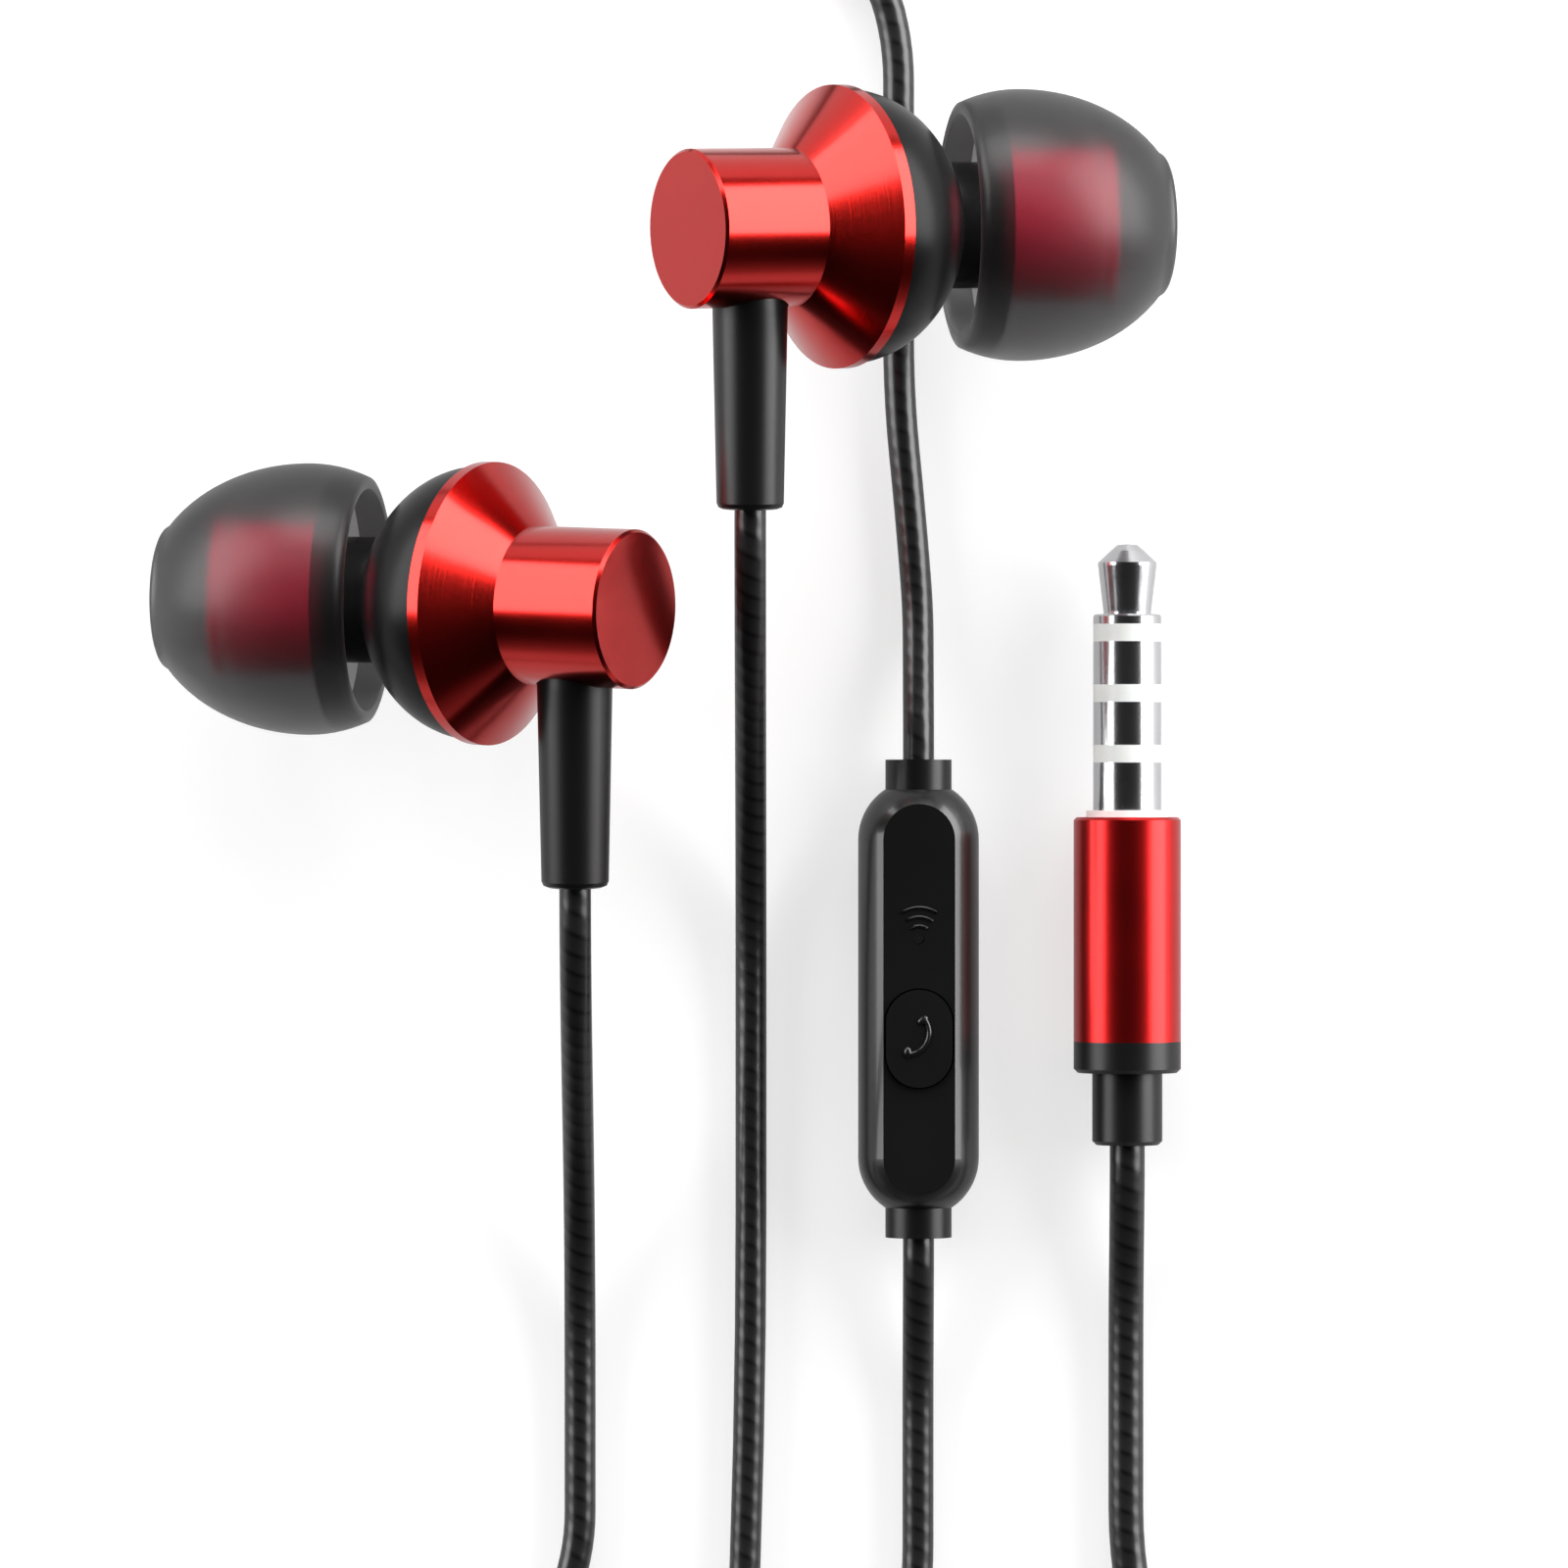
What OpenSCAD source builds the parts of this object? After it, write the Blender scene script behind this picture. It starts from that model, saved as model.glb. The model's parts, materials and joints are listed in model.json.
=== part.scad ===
// Wired in-ear earphones with an in-line call remote and a four-pole 3.5 mm plug,
// laid out on a table as they are used: two earpieces, the remote, the plug and the
// cords between them. Millimetres, +Z up, the table is z = 0.

/* [Earpiece metal shell] */
// Radius of the tube at the closed back of the metal shell
back_r = 4.0; // [3.5:0.1:4.8]
// Length of that tube, from its closed end to the cone
back_len = 5.9; // [5.6:0.1:8]
// Radius of the rim, the widest part of the shell
rim_r = 7.15; // [6.4:0.05:8.6]
// Length of the cone between the tube and the rim
cone_len = 2.5; // [2:0.1:3.4]
// Length of the rim's straight band
rim_band = 0.6; // [0.5:0.1:1.2]
// Wall of the metal shell
shell_wall = 0.5; // [0.4:0.05:0.6]
// Distance from the closed end to the axis of the strain relief
relief_from_back = 3.6; // [3:0.1:3.8]

/* [Earpiece front shell] */
// Depth of the black dome in front of the rim
dome_len = 4.85; // [4.1:0.05:6]
// Wall of the black dome
dome_wall = 0.8; // [0.6:0.05:1]
// Radius of the dome's flat front, where the nozzle leaves it
front_r = 3.84; // [3.6:0.02:4.6]
// Angle between the nozzle and the shell's axis
nozzle_angle = 20; // [10:1:24]
// Radius of the nozzle's neck, next to the dome
neck_r = 3.2; // [2.9:0.05:3.5]
// Length of the neck
neck_len = 3.5; // [2.8:0.1:4.4]
// Outer radius of the nozzle tube that the ear tip grips
nozzle_r = 2.4; // [2.2:0.05:2.6]
// Distance from the dome's front to the nozzle's open end
nozzle_len = 8.2; // [7.4:0.1:9]

/* [Ear tip] */
// Greatest radius of the silicone skirt
tip_r = 6.9; // [5.7:0.1:8.3]
// Distance from the dome's front to the skirt's back edge
tip_back = 1.7; // [1.5:0.1:2.2]
// Distance from the dome's front to the widest place of the skirt
tip_widest = 4.8; // [4:0.1:5.8]
// Distance from the dome's front to the front of the tip
tip_front = 12.4; // [11.6:0.1:14.5]
// Thickness of the skirt
skirt_wall = 0.6; // [0.5:0.05:0.8]
// Thickness of the red core that grips the nozzle
core_wall = 0.75; // [0.6:0.05:0.9]

/* [Strain reliefs] */
// Distance from the shell's axis to the free end of the earpiece strain relief
relief_len = 14.1; // [12:0.1:17]
// Radius of that relief at the shell
relief_top_r = 1.9; // [1.6:0.05:2.1]
// Radius of that relief at its free end
relief_end_r = 1.7; // [1.3:0.05:2]

/* [Driver] */
// Clearance between the driver's front edge and the inside of the dome
driver_gap = 0.12; // [0.1:0.02:0.3]
// Outer radius of the steel yoke
yoke_r = 4.0; // [3.7:0.05:4.4]
// Thickness of the magnet
magnet_h = 0.9; // [0.8:0.05:1.2]
// Travel of the voice coil each way from rest
coil_travel = 0.15; // [0.1:0.01:0.2]

/* [Remote] */
// Width of the remote
remote_w = 6.2; // [5.8:0.1:7.4]
// Length of the remote's case
remote_len = 22.5; // [20:0.5:27]
// Height of the remote's case
remote_h = 5.0; // [4.8:0.1:5.6]
// Wall of the remote's case
remote_wall = 0.6; // [0.5:0.05:0.7]
// Width of the call button
button_w = 3.4; // [3:0.1:3.6]
// Length of the call button
button_len = 5.0; // [4.4:0.1:5.6]
// How far the call button travels
button_travel = 0.25; // [0.2:0.01:0.3]
// Radius of the round collar at each end of the remote
collar_r = 1.7; // [1.4:0.05:1.9]
// How far each collar stands out of the case
collar_out = 1.0; // [0.8:0.1:2]

/* [Plug] */
// Radius of the jack's contacts
jack_r = 1.75; // [1.25,1.75,3.175]
// Length of the tip contact
jack_tip_len = 4.1; // [3.6:0.1:5]
// Length of each ring contact
jack_ring_len = 2.2; // [1.9:0.1:2.7]
// Width of each insulating ring
jack_gap = 0.9; // [0.7:0.05:1.1]
// Length of the bare sleeve contact
jack_sleeve_len = 2.45; // [2.1:0.05:3]
// Radius of the metal barrel
barrel_r = 2.75; // [2.6:0.05:3.6]
// Length of the metal barrel
barrel_len = 11.5; // [9.5:0.5:14]
// Length of the black collar behind the barrel
tail_collar_len = 1.6; // [1.2:0.1:2.4]
// Radius of the plug's strain relief
tail_r = 1.8; // [1.5:0.05:2.2]
// Length of the plug's strain relief
tail_len = 3.7; // [3:0.1:6]

/* [Cords] */
// Diameter of the two earpiece cords
branch_d = 1.6; // [1.4:0.05:1.7]
// Diameter of the cord to the plug
main_d = 1.8; // [1.5:0.05:1.9]
// Clear gap between neighbouring turns of a coil
turn_gap = 0.48; // [0.45:0.01:0.6]

/* [Layout] */
// How far the shells' axes dip towards the ear tips
pitch = 30; // [22:1:32]
// How far the strain reliefs dip towards their free ends
relief_dip = 5; // [2:1:8]
// Distance of each earpiece from the middle, sideways
earpiece_x = 4.4; // [4:0.1:5.5]
// Distance between the two earpieces, lengthways
earpiece_step = 19; // [18:0.5:22]

/* [Hidden] */
fit = 0.05;        // clearance of parts pressed or glued together
eps = 0.01;        // overlap of a cutting tool past a face
$fn = 64;

SIDES = ["left", "right"];
EAR_PARTS = ["rear_shell", "front_shell", "nozzle_mesh", "tip_skirt", "tip_core",
             "strain_relief", "cord_knot", "lead_wires", "solder_board", "driver_frame",
             "yoke", "magnet", "top_plate", "voice_coil", "diaphragm"];
REMOTE_PARTS = ["remote_top_case", "remote_base_case", "call_button", "switch_dome",
                "switch_body", "remote_board", "mic_capsule", "mic_gasket",
                "remote_upper_collar", "remote_lower_collar"];
PLUG_PARTS = ["jack_tip", "jack_first_ring", "jack_second_ring", "jack_sleeve",
              "jack_insulators", "shoulder_ring", "plug_core", "plug_barrel", "plug_tail"];
CORD_PARTS = ["cord_left_upper", "cord_left_lower", "cord_right", "coil_right",
              "y_joint", "cord_main", "coil_main"];

METAL_RED = [0.72, 0.06, 0.04];
GLOSS_BLACK = [0.03, 0.03, 0.035];
SOFT_BLACK = [0.06, 0.06, 0.065];
SMOKE_GREY = [0.22, 0.22, 0.23];
CORE_RED = [0.75, 0.07, 0.12];
STEEL = [0.72, 0.73, 0.74];
NICKEL = [0.82, 0.82, 0.83];
COPPER = [0.78, 0.42, 0.22];
BOARD_GREEN = [0.05, 0.30, 0.14];
PALE_PLASTIC = [0.90, 0.90, 0.88];
FILM = [0.55, 0.45, 0.30];

// ---- Places along the shell's axis. x = 0 is the axis of the strain relief. ----
x_back = -relief_from_back;
x_cone = x_back + back_len;
x_band = x_cone + cone_len;
x_rim = x_band + rim_band;
x_front = x_rim + dome_len;
edge_break = 0.15;                          // chamfer at the closed end

cone_rise = rim_r - back_r;
cone_shift = shell_wall * norm([cone_len, cone_rise]) / cone_rise;
function cone_x(r) = x_cone + (r - back_r) * cone_len / cone_rise;

dome_step = 0.2;                            // the dome is this much inside the rim
dome_r = rim_r - dome_step;
spigot_len = 0.3;                           // how far the dome enters the metal rim
spigot_r = rim_r - shell_wall - fit;
bore_r = nozzle_r - 0.7;                    // the sound channel
mesh_r = nozzle_r - 0.4;
mesh_h = 0.25;
neck_root = front_r * tan(nozzle_angle);    // how far the neck starts inside the dome
groove_depth = 0.3;                         // the groove that stops the tip slipping off

// A quarter-ellipse wall: radius r at x = 0, falling to end_r at x = len.
function dome_axis(len, r, end_r) = len / sin(acos(end_r / r));
function dome_at(len, r, end_r, x) = r * sqrt(1 - pow(x / dome_axis(len, r, end_r), 2));
function dome_arc(x0, len, r, end_r, steps = 10) =
    let (full = acos(end_r / r), long = dome_axis(len, r, end_r))
    [for (i = [0:steps]) [r * cos(full * i / steps), x0 + long * sin(full * i / steps)]];

// The skirt's outline is two half ellipses that meet at its widest place.
tip_back_axis = 7.0;
tip_front_axis = 8.5;
tip_shoulder = 0.4;                         // length of the rounded edge at the mouth
mouth_r = nozzle_r + fit;
function skirt_radius(t) =
    let (axis = t < tip_widest ? tip_back_axis : tip_front_axis)
    tip_r * sqrt(1 - pow((t - tip_widest) / axis, 2));
function skirt_outer(steps = 16) =
    let (t0 = tip_back, t1 = tip_front - tip_shoulder)
    [for (i = [0:steps]) let (t = t0 + (t1 - t0) * i / steps) [skirt_radius(t), t]];
function mouth_arc(steps = 4) =
    let (r = skirt_radius(tip_front - tip_shoulder), in = (r - mouth_r) * 0.6)
    [for (i = [1:steps]) let (a = 90 * i / steps)
        [r - in * (1 - cos(a)), tip_front - tip_shoulder * (1 - sin(a))]];
tip_outline = concat(skirt_outer(), mouth_arc());
core_r = mouth_r + core_wall;
core_back = neck_len + fit;
core_front = nozzle_len + 0.8;

relief_round = 0.3;                         // rounded free end of the strain relief

// ---- How an earpiece stands: on the widest circle of its tip ----
tip_pitch = pitch - nozzle_angle;
tip_nz = cos(relief_dip) * sin(tip_pitch);
tip_ny = sin(relief_dip) * sin(tip_pitch);
axis_z = cos(relief_dip) * sin(pitch);
axis_y = sin(relief_dip) * sin(pitch);
ear_z = max([for (p = tip_outline)
    x_front * axis_z + p[1] * tip_nz + p[0] * sqrt(1 - pow(tip_nz, 2))]);
reach_up = max(rim_r * sqrt(1 - pow(axis_y, 2)) + x_rim * axis_y,
    max([for (p = tip_outline)
        x_front * axis_y + p[1] * tip_ny + p[0] * sqrt(1 - pow(tip_ny, 2))]));
reach_down = relief_len * cos(relief_dip) + (relief_end_r - relief_round) * sin(relief_dip);
// The middle of the two earpieces' box is y = 0.
ear_mid_y = (reach_down - reach_up) / 2;
function ear_y(side) = ear_mid_y + (side == "right" ? 1 : -1) * earpiece_step / 2;
function ear_x(side) = (side == "right" ? 1 : -1) * earpiece_x;
// A place on the strain relief's axis, this far past its free end.
function past_relief(side, far) = [ear_x(side), ear_y(side), ear_z]
    - (relief_len + far) * [0, cos(relief_dip), sin(relief_dip)];

// ---- Driver, along the shell's axis ----
driver_wall = 0.35;
frame_front = 0.6;                          // how far the frame stands past the film
yoke_wall = 0.4;
yoke_floor = 0.5;
plate_h = 0.4;
x_yoke = x_band - yoke_floor;
x_magnet = x_yoke + yoke_floor;
x_plate = x_magnet + magnet_h;
x_yoke_top = x_plate + plate_h;
coil_clear = 0.2;                           // each side of the voice coil
coil_thick = 0.2;
plate_r = yoke_r - yoke_wall - 2 * coil_clear - coil_thick;
film_gap = coil_travel + 0.2;
film_h = 0.12;
x_film = x_yoke_top + film_gap;
x_frame = x_film + frame_front;
driver_r = dome_at(dome_len - dome_wall, dome_r - dome_wall, front_r - dome_wall,
    x_frame - x_rim) - driver_gap;
film_r = driver_r - driver_wall - 0.2;
board_r = 2.2;
board_h = 0.4;
solder_h = 0.35;

// ---- Remote. Its own frame: middle of the case, +Z through the button. ----
remote_pos = [13, -26, remote_h / 2];
remote_round = remote_w / 2;
remote_straight = remote_len - remote_w;
inner_round = remote_round - remote_wall;
inner_h = remote_h - 2 * remote_wall;
button_y = -2.0;
button_proud = 0.2;
button_gap = 0.08;
button_tab = 0.6;                           // tabs that keep the button in the case
tab_h = 0.4;
tab_drop = 0.12;
mic_y = 3.1;
mic_r = 1.5;
mic_h = 1.2;
port_r = 0.3;
pcb_h = 0.5;
pcb_top = -0.3;
pcb_w = 2 * sqrt(pow(inner_round, 2) - pow(pcb_h - pcb_top, 2)) - 0.3;
pcb_len = remote_straight - 1;
switch_h = 0.5;
dome_h = 0.45;
switch_dome_r = 1.2;
collar_in = 1.2;
collar_flange = 0.4;

// ---- Plug. Its own frame: z = 0 at the jack's end, +Z towards the cord. ----
plug_pos = [23.7, -2.7, barrel_r];
u_tip = jack_tip_len;
u_ring1 = u_tip + jack_gap;
u_ring2 = u_ring1 + jack_ring_len + jack_gap;
u_sleeve = u_ring2 + jack_ring_len + jack_gap;
u_shoulder = u_sleeve + jack_sleeve_len;
shoulder_h = 0.35;
shoulder_r = jack_r + 0.35;
u_barrel = u_shoulder + shoulder_h;
u_collar = u_barrel + barrel_len;
u_tail = u_collar + tail_collar_len;
plug_len = u_tail + tail_len;
jack_bore_r = 0.62 * jack_r;
pin_r = 0.23 * jack_r;
shank_r = jack_r - 0.2;
shank_len = 3;
barrel_wall = 0.45;
barrel_front = 0.7;
spigot_in = 1.0;

// ---- Cords. Each route is a list of points chosen by hand. ----
branch_z = branch_d / 2 + 0.02;
main_z = main_d / 2 + 0.02;
branch_pitch = branch_d + turn_gap;
main_pitch = main_d + turn_gap;

right_coil_in = 5.2;                        // inner radius of the right coil
right_turns = 2.125;                        // turns in each of its two layers
right_coil_r = right_coil_in + right_turns * branch_pitch;
right_coil_pos = [earpiece_x + right_coil_r, -74.4, branch_z];
main_coil_in = 6;
main_turns = 5;
main_coil_r = main_coil_in + main_turns * main_pitch;
main_coil_pos = [-20, -81.8, main_z];
ring_steps = 24;                            // rings in a turn

// A coil winds inwards on the table, climbs a layer in the half turn where it reverses,
// and winds outwards on top, all at a steady rate. It turns anticlockwise, seen from
// above, from angle start. Its least radius is pitch / 4 less than r_in.
function coil_line(pos, r_in, turns, pitch, start) =
    let (n = round(turns * ring_steps), half = ring_steps / 2, all = 2 * n + half)
    [for (i = [0:all])
        let (a = start + 360 * i / ring_steps, f = min(max((i - n) / half, 0), 1),
             r = r_in + pitch * (abs(i - n - half / 2) - half / 2) / ring_steps)
        pos + [r * cos(a), r * sin(a), pitch * (1 - cos(180 * f)) / 2]];

function unit(v) = v / norm(v);
// The line with a straight end, one diameter long, added to each of its ends.
function with_ends(line, d) =
    concat([before(line, d)], line, [past(line, d)]);

right_coil_line = with_ends(
    coil_line(right_coil_pos, right_coil_in, right_turns, branch_pitch, 180), branch_d);
main_coil_line = with_ends(
    coil_line(main_coil_pos, main_coil_in, main_turns, main_pitch, 90), main_d);
function last_of(line) = line[len(line) - 1];
// Places before a line's start and past its end, straight in line with it.
function before(line, far) = line[0] - far * unit(line[1] - line[0]);
function past(line, far) =
    last_of(line) + far * unit(last_of(line) - line[len(line) - 2]);

y_joint_pos = [-5.5, -63.5, 1.5];
y_joint_len = 8;
y_joint_r = 1.5;
y_joint_slim = 1.3;                         // its radius where the cord to the plug leaves
y_joint_apart = 2.4;                        // between the two cords that come in
y_left_in = y_joint_pos + [y_joint_len, y_joint_apart, 0] / 2;
y_right_in = y_joint_pos + [y_joint_len, -y_joint_apart, 0] / 2;
y_out = y_joint_pos - [y_joint_len / 2, 0, 0];

remote_end = remote_len / 2 + collar_out;
collar_top = remote_pos + [0, remote_end, 0];
collar_foot = remote_pos - [0, remote_end, 0];
plug_end = plug_pos - [0, plug_len, 0];

left_upper_route = [
    past_relief("left", 0), past_relief("left", 2),
    [-4.4, -26, 10], [-4.4, -30, 7.2], [-4.4, -34, 4.3], [-4.4, -38, 2.2], [-4.4, -42, 1.1],
    [-4.4, -46, branch_z], [-4.4, -54, branch_z], [-5.2, -57, branch_z],
    [-7.4, -59.2, branch_z], [-10.4, -60, branch_z], [-31, -60, branch_z],
    [-34.5, -59.1, branch_z], [-37.1, -56.5, branch_z], [-38, -53, branch_z],
    [-38, 23, branch_z], [-37.1, 26.5, branch_z], [-34.5, 29.1, branch_z], [-31, 30, branch_z],
    [5, 30, branch_z], [8.5, 29.1, branch_z], [11.1, 26.5, branch_z], [12, 23, branch_z],
    [12, 5, branch_z], [12.6, -1, branch_z], [13, -6, 0.9], [13, -9, 1.7],
    collar_top + [0, 1.5, 0], collar_top];

left_lower_route = [
    collar_foot, collar_foot - [0, 1.5, 0],
    [13, -43, 1.6], [13, -46, 0.9], [13, -49, branch_z],
    [13, -56, branch_z], [12.4, -59.5, 1.1], [10.6, -61.7, 1.8], [7.6, -62.3, 2.6],
    [4.4, -62.3, 2.9], [1.5, -62.3, 2.2],
    y_left_in + [1, 0, 0], y_left_in];

right_in_route = [
    past_relief("right", 0), past_relief("right", 2),
    [4.4, -7, 10], [4.4, -11, 7.2], [4.4, -15, 4.3], [4.4, -19, 2.2], [4.4, -23, 1.1],
    [4.4, -27, branch_z], [4.4, -46, branch_z], [3.8, -64, branch_z],
    before(right_coil_line, 2), right_coil_line[0]];

right_out_route = [
    last_of(right_coil_line), past(right_coil_line, 2), [4.4, -64.7, 2.9],
    [1.5, -64.7, 2.2], y_right_in + [1, 0, 0], y_right_in];

main_in_route = [
    y_out, y_out - [1, 0, 0], before(main_coil_line, 2), main_coil_line[0]];

main_out_route = [
    last_of(main_coil_line), past(main_coil_line, 2), [-11, -99.4, 2], [-7, -99.2, 1],
    [18.8, -99.2, main_z], [22.9, -98.1, main_z], [25.9, -95.1, main_z], [27, -91, main_z],
    [27, -67, main_z], [26.6, -63.5, main_z], [24.2, -57.5, main_z], [23.7, -54, main_z],
    [23.7, -45, main_z], [23.7, -41, 1.2], [23.7, -38, 2.1],
    plug_end - [0, 1.5, 0], plug_end];

// ---- Shared shapes ----

// Turns a shape drawn about Z so that it lies about X.
module about_x() { rotate([0, 90, 0]) children(); }

// A solid turned from (radius, place) points.
module turned(points) { rotate_extrude() polygon(points); }

module tube(outer, inner, from, to) {
    difference() {
        translate([0, 0, from]) cylinder(r = outer, h = to - from);
        translate([0, 0, from - eps]) cylinder(r = inner, h = to - from + 2 * eps);
    }
}

module rod(r, from, to) { translate([0, 0, from]) cylinder(r = r, h = to - from); }

// Puts an earpiece, drawn with its axis along X, on the table.
module at_ear(side) {
    translate([ear_x(side), ear_y(side), ear_z])
        mirror([side == "left" ? 1 : 0, 0, 0])
            rotate([relief_dip, 0, 0]) rotate([0, pitch, 0]) children();
}

// The nozzle's frame: z = 0 at the dome's flat front, +Z out of the nozzle.
module at_nozzle() { translate([x_front, 0, 0]) rotate([0, 90 - nozzle_angle, 0]) children(); }

// The strain relief's frame: z = 0 at the shell's axis, +Z towards its free end.
module at_relief() { rotate([90, 0, 0]) children(); }

// A round tube along a line. Rings stand square to the line.
module swept(line, d, sides) {
    last = len(line) - 1;
    tangents = [for (i = [0:last]) unit(line[min(i + 1, last)] - line[max(i - 1, 0)])];
    points = [for (i = [0:last])
        let (t = tangents[i], u = unit(cross(t, [0, 0, 1])), v = cross(u, t))
        for (k = [0:sides - 1]) let (a = 360 * (k + 0.5) / sides)
            line[i] + d / 2 * (u * cos(a) + v * sin(a))];
    walls = [for (i = [0:last - 1]) for (k = [0:sides - 1])
        let (j = (k + 1) % sides, a = i * sides, b = a + sides)
        each [[a + k, a + j, b + j], [a + k, b + j, b + k]]];
    start_cap = [for (k = [1:sides - 2]) [0, k + 1, k]];
    end_cap = [for (k = [1:sides - 2]) let (b = last * sides) [b, b + k, b + k + 1]];
    polyhedron(points, concat(walls, start_cap, end_cap));
}

// Prints the least clear gap between two turns of a coil, measured on its points.
module report_gap(name, line, d) {
    last = len(line) - 1;
    apart = ring_steps / 2;
    gap = min([for (i = [0:last]) for (j = [i + apart:1:last]) norm(line[i] - line[j])]) - d;
    echo(str(name, ": least gap between turns ", gap, " mm"));
}

// ---- Earpiece ----

module rear_shell() {
    inner_r = back_r - shell_wall;
    lip_r = rim_r - shell_wall;
    color(METAL_RED) difference() {
        about_x() turned([
            [0, x_back], [back_r - edge_break, x_back], [back_r, x_back + edge_break],
            [back_r, x_cone], [rim_r, x_band], [rim_r, x_rim], [lip_r, x_rim],
            [lip_r, cone_x(lip_r) + cone_shift], [inner_r, cone_x(inner_r) + cone_shift],
            [inner_r, x_back + shell_wall], [0, x_back + shell_wall]]);
        at_relief() rod(relief_top_r + fit, back_r / 2, back_r + 1);
    }
}

module front_shell() {
    outer = dome_arc(x_rim, dome_len, dome_r, front_r, 28);
    inner = dome_arc(x_rim, dome_len - dome_wall, dome_r - dome_wall, front_r - dome_wall);
    back = [[spigot_r, x_rim], [spigot_r, x_rim - spigot_len],
            [dome_r - dome_wall, x_rim - spigot_len]];
    inner_back = [for (i = [len(inner) - 1:-1:0]) inner[i]];
    color(GLOSS_BLACK) difference() {
        union() {
            about_x() turned(concat([[0, x_front - dome_wall]], inner_back,
                [back[2], back[1], back[0]], outer, [[0, x_front]]));
            at_nozzle() {
                rod(neck_r, -neck_root, neck_len);
                rod(nozzle_r, 0, nozzle_len);
            }
        }
        at_nozzle() {
            rod(bore_r, -3 * neck_root, nozzle_len + 1);
            rod(mesh_r + fit, nozzle_len - mesh_h, nozzle_len + 1);
            tube(nozzle_r + 1, nozzle_r - groove_depth, neck_len + 1.2, nozzle_len - 1);
        }
    }
}

module nozzle_mesh() {
    hole_r = 0.28;
    hole_step = 0.85;
    color(STEEL) at_nozzle() difference() {
        rod(mesh_r, nozzle_len - mesh_h, nozzle_len);
        rod(hole_r, nozzle_len - 1, nozzle_len + 1);
        for (ring = [1:2]) for (i = [0:6 * ring - 1])
            rotate(360 * i / (6 * ring)) translate([ring * hole_step * 0.95, 0, 0])
                rod(hole_r, nozzle_len - 1, nozzle_len + 1);
    }
}

module tip_skirt() {
    back_t = tip_back;
    web = core_front - 0.5;
    steps = 12;
    inner = [for (i = [0:steps]) let (t = back_t + (web - back_t) * i / steps)
        [max(core_r, (skirt_radius(t) - skirt_wall) * (i == steps ? 0 : 1)
            * (1 - 0.35 * pow(i / steps, 6))), t]];
    color(SMOKE_GREY) at_nozzle() turned(concat(
        tip_outline, [[mouth_r, tip_front], [mouth_r, core_front], [core_r, core_front]],
        [for (i = [steps:-1:0]) inner[i]]));
}

module tip_core() { color(CORE_RED) at_nozzle() tube(core_r, mouth_r, core_back, core_front); }

module strain_relief() {
    flange_r = relief_top_r + 0.35;
    flange_top = sqrt(pow(back_r - shell_wall - 0.1, 2) - pow(flange_r, 2));
    color(SOFT_BLACK) at_relief() turned([
        [0, flange_top - 0.5], [flange_r, flange_top - 0.5], [flange_r, flange_top],
        [relief_top_r, flange_top], [relief_top_r, back_r],
        [relief_end_r, relief_len - relief_round],
        [relief_end_r - relief_round * 0.3, relief_len - relief_round * 0.3],
        [relief_end_r - relief_round, relief_len], [0, relief_len]]);
}

module cord_knot() {
    minor = 0.55;
    major = 0.9;
    flange_r = relief_top_r + 0.35;
    seat = sqrt(pow(back_r - shell_wall - 0.1, 2) - pow(flange_r, 2)) - 0.5;
    color(SOFT_BLACK) at_relief() translate([0, 0, seat - minor])
        rotate_extrude() translate([major, 0]) circle(r = minor, $fn = 32);
}

module lead_wires() {
    from = 1.5;
    color(COPPER) about_x() for (s = [-1, 1]) translate([0, s * 0.5, 0])
        rod(0.16, from, x_yoke - board_h - solder_h);
}

module solder_board() {
    x0 = x_yoke - board_h;
    color(BOARD_GREEN) about_x() {
        rod(board_r, x0, x_yoke);
        for (s = [-1, 1]) translate([0, s * 0.5, 0]) rod(0.35, x0 - solder_h, x0);
    }
}

module driver_frame() {
    seat = x_film - coil_travel - 0.15;
    color(SOFT_BLACK) about_x() turned([
        [yoke_r, x_magnet + 0.3], [driver_r, x_magnet + 0.3], [driver_r, x_frame],
        [driver_r - driver_wall, x_frame], [driver_r - driver_wall, seat],
        [driver_r - driver_wall - 0.5, seat], [driver_r - driver_wall - 0.5, x_magnet + 0.8],
        [yoke_r, x_magnet + 0.8]]);
}

module yoke() {
    color(STEEL) about_x() difference() {
        rod(yoke_r, x_yoke, x_yoke_top);
        rod(yoke_r - yoke_wall, x_magnet, x_yoke_top + 1);
    }
}

module magnet() { color(NICKEL) about_x() rod(plate_r - 0.1, x_magnet, x_plate); }

module top_plate() { color(STEEL) about_x() rod(plate_r, x_plate, x_yoke_top); }

module voice_coil() {
    color(COPPER) about_x()
        tube(plate_r + coil_clear + coil_thick, plate_r + coil_clear, x_plate + 0.05, x_film);
}

module diaphragm() {
    rise = 0.5;
    crown = plate_r + coil_clear + coil_thick;
    roll = 0.3;
    steps = 6;
    under = concat(
        [for (i = [0:steps]) let (s = i / steps) [crown * s, x_film + rise * (1 - s * s)]],
        [for (i = [1:steps]) let (s = i / steps)
            [crown + (film_r - crown) * s, x_film + roll * sin(180 * s)]]);
    color(FILM) about_x() turned(concat(under,
        [for (i = [len(under) - 1:-1:0]) under[i] + [0, film_h]]));
}

// ---- Remote ----

// A bar with round ends and a round section, cut flat above and below.
module pill(r, straight, h) {
    intersection() {
        union() {
            rotate([90, 0, 0]) translate([0, 0, -straight / 2]) cylinder(r = r, h = straight);
            for (s = [-1, 1]) translate([0, s * straight / 2, 0]) sphere(r = r);
        }
        cube([4 * r, 2 * straight + 4 * r, h], center = true);
    }
}

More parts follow.
